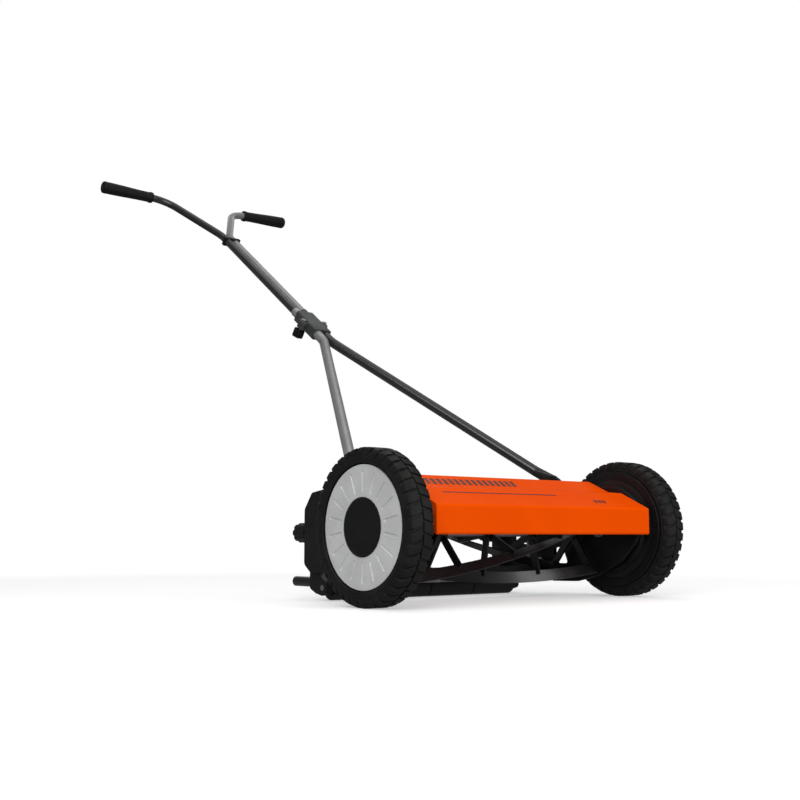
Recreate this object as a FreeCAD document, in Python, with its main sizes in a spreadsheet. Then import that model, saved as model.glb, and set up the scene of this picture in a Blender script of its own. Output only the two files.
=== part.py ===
"""Reel mower: two geared wheels drive a five-bladed reel past a bed knife.

Axes: +X is the user's left, +Y points back to the handle, +Z is up, and the
ground is Z = 0.  Each piece is drawn about its own axis and its Placement
carries it into the machine.
"""

import FreeCAD, Part
import math
import os
import Sketcher

from FreeCAD import Placement, Rotation, Vector

RIGHT, LEFT = -1, 1
SIDES = (("right", RIGHT), ("left", LEFT))
X_AXIS, Y_AXIS, Z_AXIS = Vector(1, 0, 0), Vector(0, 1, 0), Vector(0, 0, 1)
TO_X = Rotation(Z_AXIS, X_AXIS)
TO_Y = Rotation(Z_AXIS, Y_AXIS)

SIZES = {
    # frame
    "AxleY": (-494.9, "wheel axle line, from the middle of the footprint"),
    "AxleZ": (125, "wheel axle height, equal to the tyre radius"),
    "PlateInner": (234, "inner face of a side plate, from the middle"),
    "PlateThick": (8, "side plate thickness"),
    "CoverHalf": (253, "half width of the cover"),
    "SheetThick": (1.5, "cover sheet thickness"),
    "TabDepth": (3, "thickness of the cover's end tab"),
    "CoverScrew": (3, "cover screws, M6"),
    "BossRadius": (7, "boss behind a cover screw"),
    "TieRodRadius": (7, "cross tie rod"),
    "TieEndRadius": (5, "threaded end of the tie rod, M10"),
    "CollarRadius": (17, "collar round the stub axle"),
    "CollarLong": (11.3, "length of that collar"),
    "ShieldRadius": (75, "gear shield"),
    "ShieldFace": (253.3, "inner face of the gear shield, from the middle"),
    "ShieldThick": (2, "gear shield thickness"),
    "LugLong": (30, "length of the lug for the bed screw"),
    "FlangeWide": (18, "width of the slotted rear flange"),
    "PivotRadius": (4, "pivot bolts, M8"),
    "BearingRadius": (16, "outside of a reel bearing"),
    "BearingWide": (12, "width of a reel bearing"),
    "RunFit": (0.05, "radial clearance of a running fit"),
    # wheels
    "TyreRadius": (125, "tyre outside, 250 mm wheel"),
    "RimRadius": (104, "seat of the tyre on the rim"),
    "WheelMid": (300, "middle of the tyre, from the middle of the mower"),
    "TyreWide": (48, "tyre width"),
    "AxleRadius": (8, "stub axle"),
    "BushRadius": (11, "outside of the wheel bush"),
    "DiscRadius": (97.5, "silver wheel disc"),
    "DiscFace": (319.3, "outer face of the wheel disc, from the middle"),
    "DiscThick": (3, "wheel disc thickness"),
    "GrooveDeep": (1.6, "depth of a groove in the wheel disc"),
    "CapRadius": (46.7, "hub cap"),
    # gears
    "ToothModule": (2, "tooth module"),
    "RingTeeth": (70, "teeth in a wheel's internal gear"),
    "PinionTeeth": (14, "teeth on a reel pinion"),
    "GearInner": (256, "inner face of the gears, from the middle"),
    "GearWide": (12, "face width of the gears"),
    # reel
    "ReelDrop": (9, "reel axis below the axle"),
    "ReelRadius": (88, "cutting circle"),
    "ReelHalf": (228, "half length of the reel"),
    "ShaftRadius": (6, "reel shaft"),
    "BladeDeep": (20, "radial depth of a blade"),
    "BladeThick": (3, "blade thickness"),
    "BladeTwist": (0.201, "blade twist, degrees per mm"),
    "BladePhase": (62.2, "first blade, degrees from the bottom to the front"),
    "SpiderPitch": (109, "distance between spiders"),
    # bed
    "BedPivotY": (142, "bed pivot behind the axle"),
    "BedPivotZ": (64, "bed pivot height"),
    "BedHalf": (228, "half length of the bed bar"),
    # roller
    "RollerY": (225, "roller axis behind the axle"),
    "RollerRadius": (22, "rear roller"),
    "RollerAxle": (5, "roller axle"),
    "RollerHalf": (215.5, "half length of the row of rollers"),
    "ArmInner": (216, "inner face of a roller arm"),
    "ArmThick": (17.7, "roller arm thickness"),
    "StudZ": (117, "height knob above the ground"),
    "StudX": (226, "height knob from the middle"),
    "KnobRadius": (17.5, "height knob"),
    "PinRadius": (8.8, "catcher pin"),
    # handle
    "FootY": (118, "handle pivot behind the axle"),
    "FootZ": (210.8, "handle pivot height"),
    "FootX": (245.6, "handle foot from the middle"),
    "HandleSlope": (36.36, "handle above the ground plane, degrees"),
    "LowerRadius": (10, "lower tube"),
    "LowerBore": (8.8, "inside of the lower tube"),
    "UpperRadius": (8.75, "upper tube"),
    "UpperBore": (7.25, "inside of the upper tube"),
    "PairHalf": (10.15, "half the distance between the parallel tubes"),
    "LowerSplay": (24.37, "lower tubes from the handle's centre line, degrees"),
    "LowerEnd": (652, "top end of the lower tubes, along the slope"),
    "UpperStart": (575, "bottom end of the upper tubes, along the slope"),
    "UpperBend": (1045, "where the upper tubes splay, along the slope"),
    "GripRadius": (14.5, "hand grip"),
    "ClampBolt": (3, "clamp bolts, M6"),
}

doc = FreeCAD.newDocument("ReelMower")
sheet = doc.addObject("Spreadsheet::Sheet", "Sizes")
for row, (alias, (number, note)) in enumerate(SIZES.items(), start=1):
    sheet.set(f"A{row}", alias)
    sheet.set(f"B{row}", str(number))
    sheet.set(f"C{row}", note)
    sheet.setAlias(f"B{row}", alias)
doc.recompute()

nodes = []


# ---------------------------------------------------------------- helpers

def size(alias):
    """The number in the sheet's cell."""
    return float(sheet.get(alias))


def bind(thing, **links):
    """Bind properties to sheet cells; a double underscore stands for a dot."""
    for name, text in links.items():
        thing.setExpression(name.replace("__", "."), text)


def keep(thing, label, at=None, turn=None):
    """Name a finished piece and place it; `at` holds expressions."""
    thing.Label = label
    if turn is not None:
        thing.Placement = Placement(Vector(), turn)
    for letter, text in zip("xyz", at or ()):
        if text != "0":
            thing.setExpression(f"Placement.Base.{letter}", text)
    nodes.append(thing)
    return thing


AXLE = ("0", "Sizes.AxleY", "Sizes.AxleZ")
REEL = ("0", "Sizes.AxleY + sqrt((Sizes.ToothModule * (Sizes.RingTeeth - Sizes.PinionTeeth) / 2)^2"
        " - Sizes.ReelDrop^2)", "Sizes.AxleZ - Sizes.ReelDrop")
GROUND = ("0", "Sizes.AxleY", "0")
ROLLER = ("0", "Sizes.AxleY + Sizes.RollerY", "Sizes.RollerRadius")
HANDLE = ("0", "Sizes.AxleY + Sizes.FootY", "Sizes.FootZ")
SLOPE = Rotation(X_AXIS, size("HandleSlope"))
CENTRES = size("ToothModule") * (size("RingTeeth") - size("PinionTeeth")) / 2
REEL_Y = math.sqrt(CENTRES ** 2 - size("ReelDrop") ** 2)
REEL_Z = size("AxleZ") - size("ReelDrop")


def polar(radius, degrees):
    """A point of a circle in the plane of a drawing."""
    return radius * math.cos(math.radians(degrees)), radius * math.sin(math.radians(degrees))


def rounded(corners):
    """Edges of a closed outline; each corner is (u, v) or (u, v, radius)."""
    count = len(corners)
    cuts = []
    for i, corner in enumerate(corners):
        here = Vector(corner[0], corner[1], 0)
        back = Vector(*corners[i - 1][:2], 0) - here
        ahead = Vector(*corners[(i + 1) % count][:2], 0) - here
        radius = corner[2] if len(corner) > 2 else 0
        if not radius:
            cuts.append((here, None, here))
            continue
        half = back.getAngle(ahead) / 2
        back.normalize()
        ahead.normalize()
        run = radius / math.tan(half)
        middle = (back + ahead).normalize() * (radius / math.sin(half) - radius)
        cuts.append((here + back * run, here + middle, here + ahead * run))
    edges = []
    for i, (start, middle, end) in enumerate(cuts):
        if middle is not None:
            edges.append(Part.Arc(start, middle, end))
        after = cuts[(i + 1) % count][0]
        if (after - end).Length > 1e-6:
            edges.append(Part.LineSegment(end, after))
    return edges


def new_body(name):
    return doc.addObject("PartDesign::Body", name)


def draw(body, role, edges=(), circles=(), shift=None):
    """A sketch on one of the body's planes.

    circles: (u, v, radius) or (u, v, radius, cell), where the cell drives it.
    """
    sketch = body.newObject("Sketcher::SketchObject", body.Name + "Sketch")
    plane = next(f for f in body.Origin.OriginFeatures if f.Role == role)
    sketch.AttachmentSupport = [(plane, "")]
    sketch.MapMode = "FlatFace"
    if shift:
        sketch.setExpression("AttachmentOffset.Base.z", shift)
    if edges:
        sketch.addGeometry(list(edges), False)
    for u, v, radius, *cell in circles:
        index = sketch.addGeometry(Part.Circle(Vector(u, v, 0), Z_AXIS, radius), False)
        if cell:
            sketch.addConstraint(Sketcher.Constraint("Radius", index, radius))
            sketch.setExpression(f"Constraints[{sketch.ConstraintCount - 1}]", cell[0])
    return sketch


def pad(body, sketch, length, back=False, both=False):
    feature = body.newObject("PartDesign::Pad", body.Name + "Pad")
    feature.Profile = sketch
    feature.setExpression("Length", length)
    feature.Reversed = back
    feature.Midplane = both
    sketch.Visibility = False
    return feature


def pocket(body, sketch, length, back=False, both=False):
    feature = body.newObject("PartDesign::Pocket", body.Name + "Pocket")
    feature.Profile = sketch
    feature.setExpression("Length", length)
    feature.Reversed = back
    feature.Midplane = both
    return feature


def turned(name, corners, side=1):
    """A turned piece: its outline is (x, radius) and it spins about X."""
    body = new_body(name)
    outline = [(side * c[0], *c[1:]) for c in corners]
    sketch = draw(body, "XZ_Plane", rounded(outline))
    spin = body.newObject("PartDesign::Revolution", name + "Spin")
    spin.Profile = sketch
    spin.ReferenceAxis = (sketch, ["H_Axis"])
    spin.Angle = 360
    return body


def rod(name, radius, length, at=(0, 0, 0), turn=None):
    """A cylinder; `radius` is an expression and `length` a number or expression."""
    piece = doc.addObject("Part::Cylinder", name)
    piece.setExpression("Radius", radius)
    if isinstance(length, str):
        piece.setExpression("Height", length)
    else:
        piece.Height = length
    piece.Placement = Placement(Vector(*at), turn or Rotation())
    return piece


def block(name, low, high):
    """A box between two corners."""
    piece = doc.addObject("Part::Box", name)
    piece.Length, piece.Width, piece.Height = (abs(b - a) for a, b in zip(low, high))
    piece.Placement.Base = Vector(*(min(a, b) for a, b in zip(low, high)))
    return piece


def cut(name, base, tool):
    piece = doc.addObject("Part::Cut", name)
    piece.Base, piece.Tool = base, tool
    return piece


def fuse(name, pieces):
    piece = doc.addObject("Part::MultiFuse", name)
    piece.Shapes = pieces
    return piece


def group(name, pieces):
    """Identical loose fasteners kept together as separate solids."""
    piece = doc.addObject("Part::Compound", name)
    piece.Links = pieces
    return piece


def feature(name, shape):
    piece = doc.addObject("Part::Feature", name)
    piece.Shape = shape
    return piece


# ------------------------------------------------------------------ frame

# Outlines are (back from the axle, up from the ground, corner radius).
PLATE_OUTLINE = [
    (-94, 121, 5), (-94, 153, 5), (-36, 182, 8), (-8, 185, 8), (40, 206, 12),
    (84, 206, 12), (108, 223, 8), (125, 223, 8), (133, 206, 2), (152, 219.8, 2),
    (165, 214, 5), (167, 198, 8), (246, 187, 8), (268, 158, 10), (268, 62, 10),
    (248, 47, 10), (186, 50, 20), (158, 40, 8), (118, 26, 10), (60, 27, 15),
    (10, 38, 20), (-48, 66, 30), (-80, 98, 20),
]
PLATE_WINDOW = [(80, 60, 4), (114, 60, 4), (116, 90, 4), (92, 90, 4)]
PLATE_REAR_WINDOW = [(176, 96, 10), (224, 96, 10), (224, 160, 12), (186, 168, 10)]
TIE_ROD = (158, 150)
COVER_SCREWS = [(-88, 129), (-88, 150)]
LUG = ((152, 84), (170, 84), (170, 92), (152, 92))
BED_SCREW = (212, 161)
FLANGE = [(262, 70), (268, 70), (268, 152), (262, 160)]
SLOT = ((-4.4, 90), (4.4, 90), (4.4, 149), (-4.4, 149))
SLOT_ROUND = 4.3
SLOT_CUT_FROM, SLOT_CUT_DEEP = 275, 20
LUG_CUT_FROM, LUG_CUT_LONG = 83, 12
SHAFT_HOLE = 8
COVER_SCREW_LONG, COVER_SCREW_HEAD, COVER_SCREW_HIGH = 12, 5.2, 2.2
TIE_OVERHANG = 18
TIE_NUT_RADIUS, TIE_NUT_HIGH = 8, 7
PIVOT_LONG, PIVOT_HEAD, PIVOT_HEAD_HIGH, PIVOT_NUT_HIGH, PIVOT_GRIP = 21, 7.5, 5, 4.5, 15.9
BEARING_FROM = 232
FOOT_THICK, FOOT_PLAY = 6, 0.3


def side_plate(name, side):
    """Plate with bearing seats, cover bosses, the screw lug and the slotted flange."""
    body = new_body(name)
    inner = f"{side} * Sizes.PlateInner"
    axle_hole = (0, size("AxleZ"), size("AxleRadius"), "Sizes.AxleRadius")
    holes = [
        axle_hole,
        (REEL_Y, REEL_Z, size("BearingRadius"), "Sizes.BearingRadius"),
        (*TIE_ROD, size("TieEndRadius"), "Sizes.TieEndRadius"),
        (size("FootY"), size("FootZ"), size("PivotRadius"), "Sizes.PivotRadius"),
        (size("BedPivotY"), size("BedPivotZ"), size("PivotRadius"), "Sizes.PivotRadius"),
    ]
    edges = rounded(PLATE_OUTLINE) + rounded(PLATE_WINDOW) + rounded(PLATE_REAR_WINDOW)
    pad(body, draw(body, "YZ_Plane", edges, holes, inner), "Sizes.PlateThick", side < 0)
    outer = f"{side} * (Sizes.PlateInner + Sizes.PlateThick)"
    bosses = [(u, v, size("BossRadius")) for u, v in COVER_SCREWS]
    pad(body, draw(body, "YZ_Plane", (), bosses, outer),
        "Sizes.CoverHalf - Sizes.TabDepth - Sizes.PlateInner - Sizes.PlateThick", side < 0)
    collar = [(0, size("AxleZ"), size("CollarRadius")), axle_hole]
    pad(body, draw(body, "YZ_Plane", (), collar, outer), "Sizes.CollarLong", side < 0)
    shield = [(0, size("AxleZ"), size("ShieldRadius")), axle_hole, (REEL_Y, REEL_Z, SHAFT_HOLE)]
    pad(body, draw(body, "YZ_Plane", (), shield, f"{side} * Sizes.ShieldFace"),
        "Sizes.ShieldThick", side < 0)
    pad(body, draw(body, "YZ_Plane", rounded(LUG), (), inner), "Sizes.LugLong", side > 0)
    screw = (side * BED_SCREW[0], BED_SCREW[1], size("PivotRadius") + size("RunFit"))
    pocket(body, draw(body, "XY_Plane", (), [screw], str(LUG_CUT_FROM)), str(LUG_CUT_LONG), True)
    pad(body, draw(body, "YZ_Plane", rounded(FLANGE), (), inner), "Sizes.FlangeWide", side > 0)
    slot_u = side * size("StudX")
    slot = rounded([(slot_u + u, v, SLOT_ROUND) for u, v in SLOT])
    pocket(body, draw(body, "XZ_Plane", slot, (), str(-SLOT_CUT_FROM)), str(SLOT_CUT_DEEP), True)
    return keep(body, name, GROUND)


COVER_OUTSIDE = [(-97.5, 114), (-99.5, 116.5), (-99.5, 160), (-37, 189.5), (-7, 192), (40, 213)]
COVER_BENDS = (0, 1.8, 5, 4, 4, 0)
COVER_TAB = [(-98.2, 116), (-98.2, 159), (-88, 163), (-78, 167, 4), (-78, 121, 4), (-83, 116, 3)]


def sheet_outline(points, bends, thick):
    """A bent sheet's closed outline; `bends` are the outside bend radii."""
    inner = []
    for i, (u, v) in enumerate(points):
        normals = []
        for a, b in ((i - 1, i), (i, i + 1)):
            if 0 <= a and b < len(points):
                du, dv = points[b][0] - points[a][0], points[b][1] - points[a][1]
                run = math.hypot(du, dv)
                normals.append((dv / run, -du / run))
        nu = sum(n[0] for n in normals) / len(normals)
        nv = sum(n[1] for n in normals) / len(normals)
        scale = thick / (nu * nu + nv * nv)
        inner.append((u + nu * scale, v + nv * scale, max(bends[i] - thick, 0)))
    return [(*point, bend) for point, bend in zip(points, bends)] + inner[::-1]


def cover():
    """Bent sheet over the reel, with a step along it and a tab at each end."""
    body = new_body("front_cover")
    outline = sheet_outline(COVER_OUTSIDE, COVER_BENDS, size("SheetThick"))
    pad(body, draw(body, "YZ_Plane", rounded(outline)), "2 * Sizes.CoverHalf", both=True)
    for side in (RIGHT, LEFT):
        holes = [(u, v, size("CoverScrew")) for u, v in COVER_SCREWS]
        pad(body, draw(body, "YZ_Plane", rounded(COVER_TAB), holes, f"{side} * Sizes.CoverHalf"),
            "Sizes.TabDepth", side > 0)
    return keep(body, "front_cover", GROUND)


def bolt(name, shank, length, head, head_high, at, turn, nut=0, grip=0):
    """A hexagon bolt along local +Z under its head, with its nut if it has one."""
    parts = [Part.makeCylinder(shank, length)]
    parts.append(hexagon(head, head_high).translated(Vector(0, 0, -head_high)))
    if nut:
        parts.append(hexagon(head, nut).translated(Vector(0, 0, grip)))
    solid = parts[0].multiFuse(parts[1:]).removeSplitter()
    piece = feature(name, solid)
    piece.Placement = Placement(Vector(*at), turn)
    return piece


def hexagon(radius, high):
    """A hexagonal prism on its base."""
    points = [Vector(*polar(radius, 60 * i), 0) for i in range(7)]
    return Part.Face(Part.makePolygon(points)).extrude(Vector(0, 0, high))


def frame_fasteners():
    """Cover screws, cross tie, pivot bolts, bearings and wheel clips."""
    screws = []
    for name, side in SIDES:
        for i, (u, v) in enumerate(COVER_SCREWS):
            at = (side * size("CoverHalf"), u, v)
            screws.append(bolt(f"{name}_cover_screw_{i}", size("CoverScrew"), COVER_SCREW_LONG,
                               COVER_SCREW_HEAD, COVER_SCREW_HIGH, at,
                               Rotation(Z_AXIS, X_AXIS * -side)))
    keep(group("cover_screws", screws), "cover_screws", GROUND)
    inner = size("PlateInner")
    middle = rod("tie_middle", "Sizes.TieRodRadius", 2 * inner, (-inner, *TIE_ROD), TO_X)
    ends = rod("tie_ends", "Sizes.TieEndRadius", 2 * (inner + TIE_OVERHANG),
               (-inner - TIE_OVERHANG, *TIE_ROD), TO_X)
    keep(fuse("tie_rod", [middle, ends]), "tie_rod", GROUND)
    outer = inner + size("PlateThick")
    nuts = []
    for name, side in SIDES:
        nut = hexagon(TIE_NUT_RADIUS, TIE_NUT_HIGH)
        nut = nut.cut(Part.makeCylinder(size("TieEndRadius"), TIE_NUT_HIGH))
        piece = feature(f"{name}_tie_nut", nut)
        piece.Placement = Placement(Vector(side * outer, *TIE_ROD), Rotation(Z_AXIS, X_AXIS * side))
        nuts.append(piece)
    keep(group("tie_rod_nuts", nuts), "tie_rod_nuts", GROUND)
    bolts = []
    for name, side in SIDES:
        turn = Rotation(Z_AXIS, X_AXIS * -side)
        foot_face = size("FootX") + FOOT_THICK / 2 + FOOT_PLAY
        spots = (("handle", foot_face, size("FootY"), size("FootZ")),
                 ("bed", outer, size("BedPivotY"), size("BedPivotZ")))
        for which, x, y, z in spots:
            bolts.append(bolt(f"{name}_{which}_bolt", size("PivotRadius"), PIVOT_LONG, PIVOT_HEAD,
                              PIVOT_HEAD_HIGH, (side * x, y, z), turn, PIVOT_NUT_HIGH, PIVOT_GRIP))
    keep(group("pivot_bolts", bolts), "pivot_bolts", GROUND)
    bearings = []
    for name, side in SIDES:
        end, bore = BEARING_FROM + size("BearingWide"), size("ShaftRadius") + size("RunFit")
        race = [(BEARING_FROM, bore), (BEARING_FROM, size("BearingRadius")),
                (end, size("BearingRadius")), (end, bore)]
        ring = turned(f"{name}_bearing", race, side)
        bind(ring, Placement__Base__y=REEL[1], Placement__Base__z=REEL[2])
        bearings.append(ring)
    keep(group("reel_bearings", bearings), "reel_bearings")


def axle(name, side):
    """Stub axle with an inner flange and a groove for its clip."""
    end = [(228.8, 0), (228.8, 16, 1), (233.9, 16), (233.9, 8), (315, 8), (315, 6.8), (316.3, 6.8),
           (316.3, 8), (318, 8, 1), (318, 0)]
    return keep(turned(name, end, side), name, AXLE)


def wheel_clips():
    """Rings that snap into the axle grooves and hold the wheels on."""
    clips = []
    clip = [(315.05, 6.8), (315.05, 12), (316.25, 12), (316.25, 6.8)]
    for name, side in SIDES:
        ring = turned(f"{name}_clip", clip, side)
        bind(ring, Placement__Base__y=AXLE[1], Placement__Base__z=AXLE[2])
        clips.append(ring)
    keep(group("wheel_clips", clips), "wheel_clips")


# ----------------------------------------------------------------- wheels

def wheel(name, side):
    """Tyre, rim, internal gear, silver disc, hub cap and bush."""
    tread, seat = size("TyreRadius"), size("RimRadius")
    near, far = size("WheelMid") - size("TyreWide") / 2, size("WheelMid") + size("TyreWide") / 2
    tyre = [(near, seat), (near, tread - 5, 4), (near + 7, tread, 5), (far - 7, tread, 5),
            (far, tread - 9, 7), (far, seat + 3, 2), (far - 5, seat)]
    keep(turned(f"{name}_tyre", tyre, side), f"{name}_tyre", AXLE)
    bush, face = size("BushRadius"), size("DiscFace")
    back = face - size("DiscThick")
    rim = [(256.8, bush), (256.8, 20, 2), (272, 24, 4), (272, 106, 1), (near - 0.3, 106, 1),
           (near - 0.3, seat), (317, seat), (317, 97.6), (back, 97.6), (back, 93), (back - 3, 93),
           (back - 6, 97), (279, 97, 3), (279, 26, 4), (314, 20, 2), (314, bush)]
    keep(turned(f"{name}_rim", rim, side), f"{name}_rim", AXLE)
    wheel_disc(name, side)
    cap = [(face + 0.1, 0), (face + 0.1, 35.5), (312, 35.5), (312, 39.4), (face, 39.4),
           (face, 46.7), (face + 1.2, 46.7), (face + 2.4, 43, 2), (face + 2.4, 0)]
    keep(turned(f"{name}_hub_cap", cap, side), f"{name}_hub_cap", AXLE)
    fit = size("AxleRadius") + size("RunFit")
    sleeve = [(255.8, fit), (255.8, 14), (256.8, 14), (256.8, bush), (314, bush), (314, fit)]
    keep(turned(f"{name}_hub_bush", sleeve, side), f"{name}_hub_bush", AXLE)


DISC_GROOVES = 18
GROOVE = [(-2.2, 54, 2.1), (2.2, 54, 2.1), (3.0, 88, 2.9), (-3.0, 88, 2.9)]
DISC_HOLE = 39.5


def wheel_disc(name, side):
    """Silver disc with eighteen radial grooves."""
    body = new_body(f"{name}_wheel_disc")
    rings = [(0, 0, size("DiscRadius"), "Sizes.DiscRadius"), (0, 0, DISC_HOLE)]
    base = f"{side} * (Sizes.DiscFace - Sizes.DiscThick)"
    pad(body, draw(body, "YZ_Plane", (), rings, base), "Sizes.DiscThick", side < 0)
    sketch = draw(body, "YZ_Plane", rounded(GROOVE), (), f"{side} * Sizes.DiscFace")
    first = pocket(body, sketch, "Sizes.GrooveDeep", side < 0)
    ring = body.newObject("PartDesign::PolarPattern", body.Name + "Pattern")
    ring.Originals = [first]
    ring.Axis = (next(f for f in body.Origin.OriginFeatures if f.Role == "X_Axis"), [""])
    ring.Angle = 360
    ring.Occurrences = DISC_GROOVES
    body.Tip = ring
    return keep(body, f"{name}_wheel_disc", AXLE)


# ------------------------------------------------------------------ gears

PRESSURE = math.radians(25)
SLACK = 0.3
FLANK_STEPS = 4
RING_DEEP, RING_TALL = 1.9, 1.4
PINION_TALL, PINION_DEEP = 1.5, 2.1
RING_OUTSIDE = 79.5
SEAT_OUTSIDE, SEAT_INSIDE, SEAT_THICK = 90, 73, 4
RECESS_RADIUS, RECESS_DEEP = 9, 6


def tooth_wire(teeth, tip, root, slack, start):
    """Closed involute outline in the YZ plane with a tooth at angle `start` (radians)."""
    pitch = size("ToothModule") * teeth / 2
    base = pitch * math.cos(PRESSURE)
    flank = math.tan(PRESSURE) - PRESSURE
    half = math.pi / (2 * teeth) - slack / (2 * pitch)
    points = []
    for i in range(teeth):
        middle = start + 2 * math.pi * i / teeth
        rising = []
        for k in range(FLANK_STEPS + 1):
            radius = root + (tip - root) * k / FLANK_STEPS
            spread = half + flank
            if radius > base:
                angle = math.acos(base / radius)
                spread = half + flank - (math.tan(angle) - angle)
            rising.append((radius, max(spread, 0.1 / radius)))
        for radius, spread in rising:
            points.append((radius, middle - spread))
        for radius, spread in reversed(rising):
            points.append((radius, middle + spread))
    ring = [Vector(0, r * math.cos(a), r * math.sin(a)) for r, a in points]
    return Part.makePolygon(ring + ring[:1])


def gears(name, side):
    """The wheel's internal gear and the pinion that rolls inside it."""
    module, wide = size("ToothModule"), size("GearWide")
    aim = math.atan2(-size("ReelDrop"), REEL_Y)
    teeth = int(size("RingTeeth"))
    pitch = module * teeth / 2
    inner = size("GearInner")
    low = inner if side > 0 else -inner - wide
    hollow = Part.Face(tooth_wire(teeth, pitch + RING_DEEP, pitch - RING_TALL, -SLACK, aim))
    hollow = hollow.extrude(Vector(wide + 2 * SEAT_THICK, 0, 0))
    hollow = hollow.translated(Vector(low - SEAT_THICK, 0, 0))
    ring = Part.makeCylinder(RING_OUTSIDE, wide, Vector(low, 0, 0), X_AXIS)
    seat = Vector(low + wide if side > 0 else low - SEAT_THICK, 0, 0)
    flange = Part.makeCylinder(SEAT_OUTSIDE, SEAT_THICK, seat, X_AXIS)
    flange = flange.cut(Part.makeCylinder(SEAT_INSIDE, SEAT_THICK, seat, X_AXIS))
    ring = ring.fuse(flange).cut(hollow)
    keep(feature(f"{name}_ring_gear", ring), f"{name}_ring_gear", AXLE)
    teeth = int(size("PinionTeeth"))
    pitch = module * teeth / 2
    solid = Part.Face(tooth_wire(teeth, pitch + PINION_TALL, pitch - PINION_DEEP, SLACK, aim))
    solid = solid.extrude(Vector(wide, 0, 0)).translated(Vector(low, 0, 0))
    bore = Part.makeCylinder(size("ShaftRadius"), wide, Vector(low, 0, 0), X_AXIS)
    recess_low = low + wide - RECESS_DEEP if side > 0 else low
    recess = Part.makeCylinder(RECESS_RADIUS, RECESS_DEEP, Vector(recess_low, 0, 0), X_AXIS)
    keep(feature(f"{name}_pinion", solid.cut(bore).cut(recess)), f"{name}_pinion", REEL)


# ------------------------------------------------------------------- reel

BLADES = 5
BLADE_SECTIONS = 12
HUB_RADIUS, HUB_LONG = 13, 12
ARM_THICK, ARM_WIDE, ARM_LAP = 4, 13, 7
SHAFT_LONG = 540
PAWL_FROM, PAWL_LONG, PAWL_HALF = 7, 4, 2
PAWL_OUT, PAWL_BACK = 8.6, 5.8


def blade_angle(x, number):
    """Angle of a blade in the YZ plane, degrees, at a place along the reel."""
    return -90 - size("BladePhase") - size("BladeTwist") * x + 360 / BLADES * number


def blade(number):
    """One helical knife, lofted through its turning section."""
    half, outside = size("ReelHalf"), size("ReelRadius")
    deep, thick = size("BladeDeep"), size("BladeThick")
    sections = []
    for i in range(BLADE_SECTIONS + 1):
        x = -half + 2 * half * i / BLADE_SECTIONS
        angle = math.radians(blade_angle(x, number))
        out = Vector(0, math.cos(angle), math.sin(angle))
        across = Vector(0, -math.sin(angle), math.cos(angle)) * (thick / 2)
        rim = math.sqrt(outside ** 2 - (thick / 2) ** 2)
        centre = Vector(x, 0, 0)
        corners = [centre + out * rim + across, centre + out * rim - across,
                   centre + out * (rim - deep) - across, centre + out * (rim - deep) + across]
        sections.append(Part.makePolygon(corners + corners[:1]))
    name = f"reel_blade_{number + 1}"
    keep(feature(name, Part.makeLoft(sections, True, False)), name, REEL)


def spiders():
    """Five-armed spiders that carry the blades."""
    solids = []
    reach = size("ReelRadius") - size("BladeDeep") + ARM_LAP
    for i in range(-2, 3):
        x = i * size("SpiderPitch")
        end = Vector(x - HUB_LONG / 2, 0, 0)
        parts = [Part.makeCylinder(HUB_RADIUS, HUB_LONG, end, X_AXIS)]
        for number in range(BLADES):
            arm = Part.makeBox(ARM_THICK, reach, ARM_WIDE, Vector(-ARM_THICK / 2, 0, -ARM_WIDE / 2))
            arm.rotate(Vector(), X_AXIS, blade_angle(x, number))
            parts.append(arm.translated(Vector(x, 0, 0)))
        solid = parts[0].multiFuse(parts[1:])
        bore = Part.makeCylinder(size("ShaftRadius"), HUB_LONG, end, X_AXIS)
        solids.append(solid.cut(bore))
    keep(feature("reel_spiders", Part.makeCompound(solids)), "reel_spiders", REEL)


def reel_shaft():
    """Shaft with a cross slot at each end for its drive pawl."""
    shaft = rod("shaft_bar", "Sizes.ShaftRadius", SHAFT_LONG, (-SHAFT_LONG / 2, 0, 0), TO_X)
    slots, pawls = [], []
    for name, side in SIDES:
        low = side * (size("GearInner") + PAWL_FROM)
        high = low + side * PAWL_LONG
        slots.append(block(f"{name}_slot", (low, -PAWL_HALF, -7), (high, PAWL_HALF, 7)))
        pawls.append(block(f"{name}_pawl", (low, -PAWL_HALF, -PAWL_OUT), (high, PAWL_HALF, PAWL_BACK)))
    keep(cut("reel_shaft", shaft, fuse("slots", slots)), "reel_shaft", REEL)
    keep(group("drive_pawls", pawls), "drive_pawls", REEL)


# -------------------------------------------------------------------- bed

EAR = [(122, 36, 1), (138, 34, 4), (153, 62, 9), (142, 75, 8), (131, 64, 6), (122, 50, 3)]
EAR_THICK, EAR_PLAY = 7, 0.4
TAIL = [(122.5, 48), (134, 48), (172, 57, 2), (172, 65, 2), (127, 65, 3), (122.5, 55)]
TAIL_FACE, TAIL_WIDE = 220, 18
KNIFE_SCREWS, KNIFE_SCREW_PITCH = 7, 60
KNIFE_SCREW_Y, KNIFE_UNDER = 119.5, 31.9
KNIFE_SCREW_RADIUS, KNIFE_SCREW_LONG, KNIFE_HEAD, KNIFE_HEAD_HIGH = 3, 10, 4.6, 1.6
BED_SCREW_FOOT, BED_SCREW_LONG = 66.4, 40
BED_HEAD_FOOT, BED_HEAD_RADIUS, BED_HEAD_HIGH = 98, 9, 11


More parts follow.
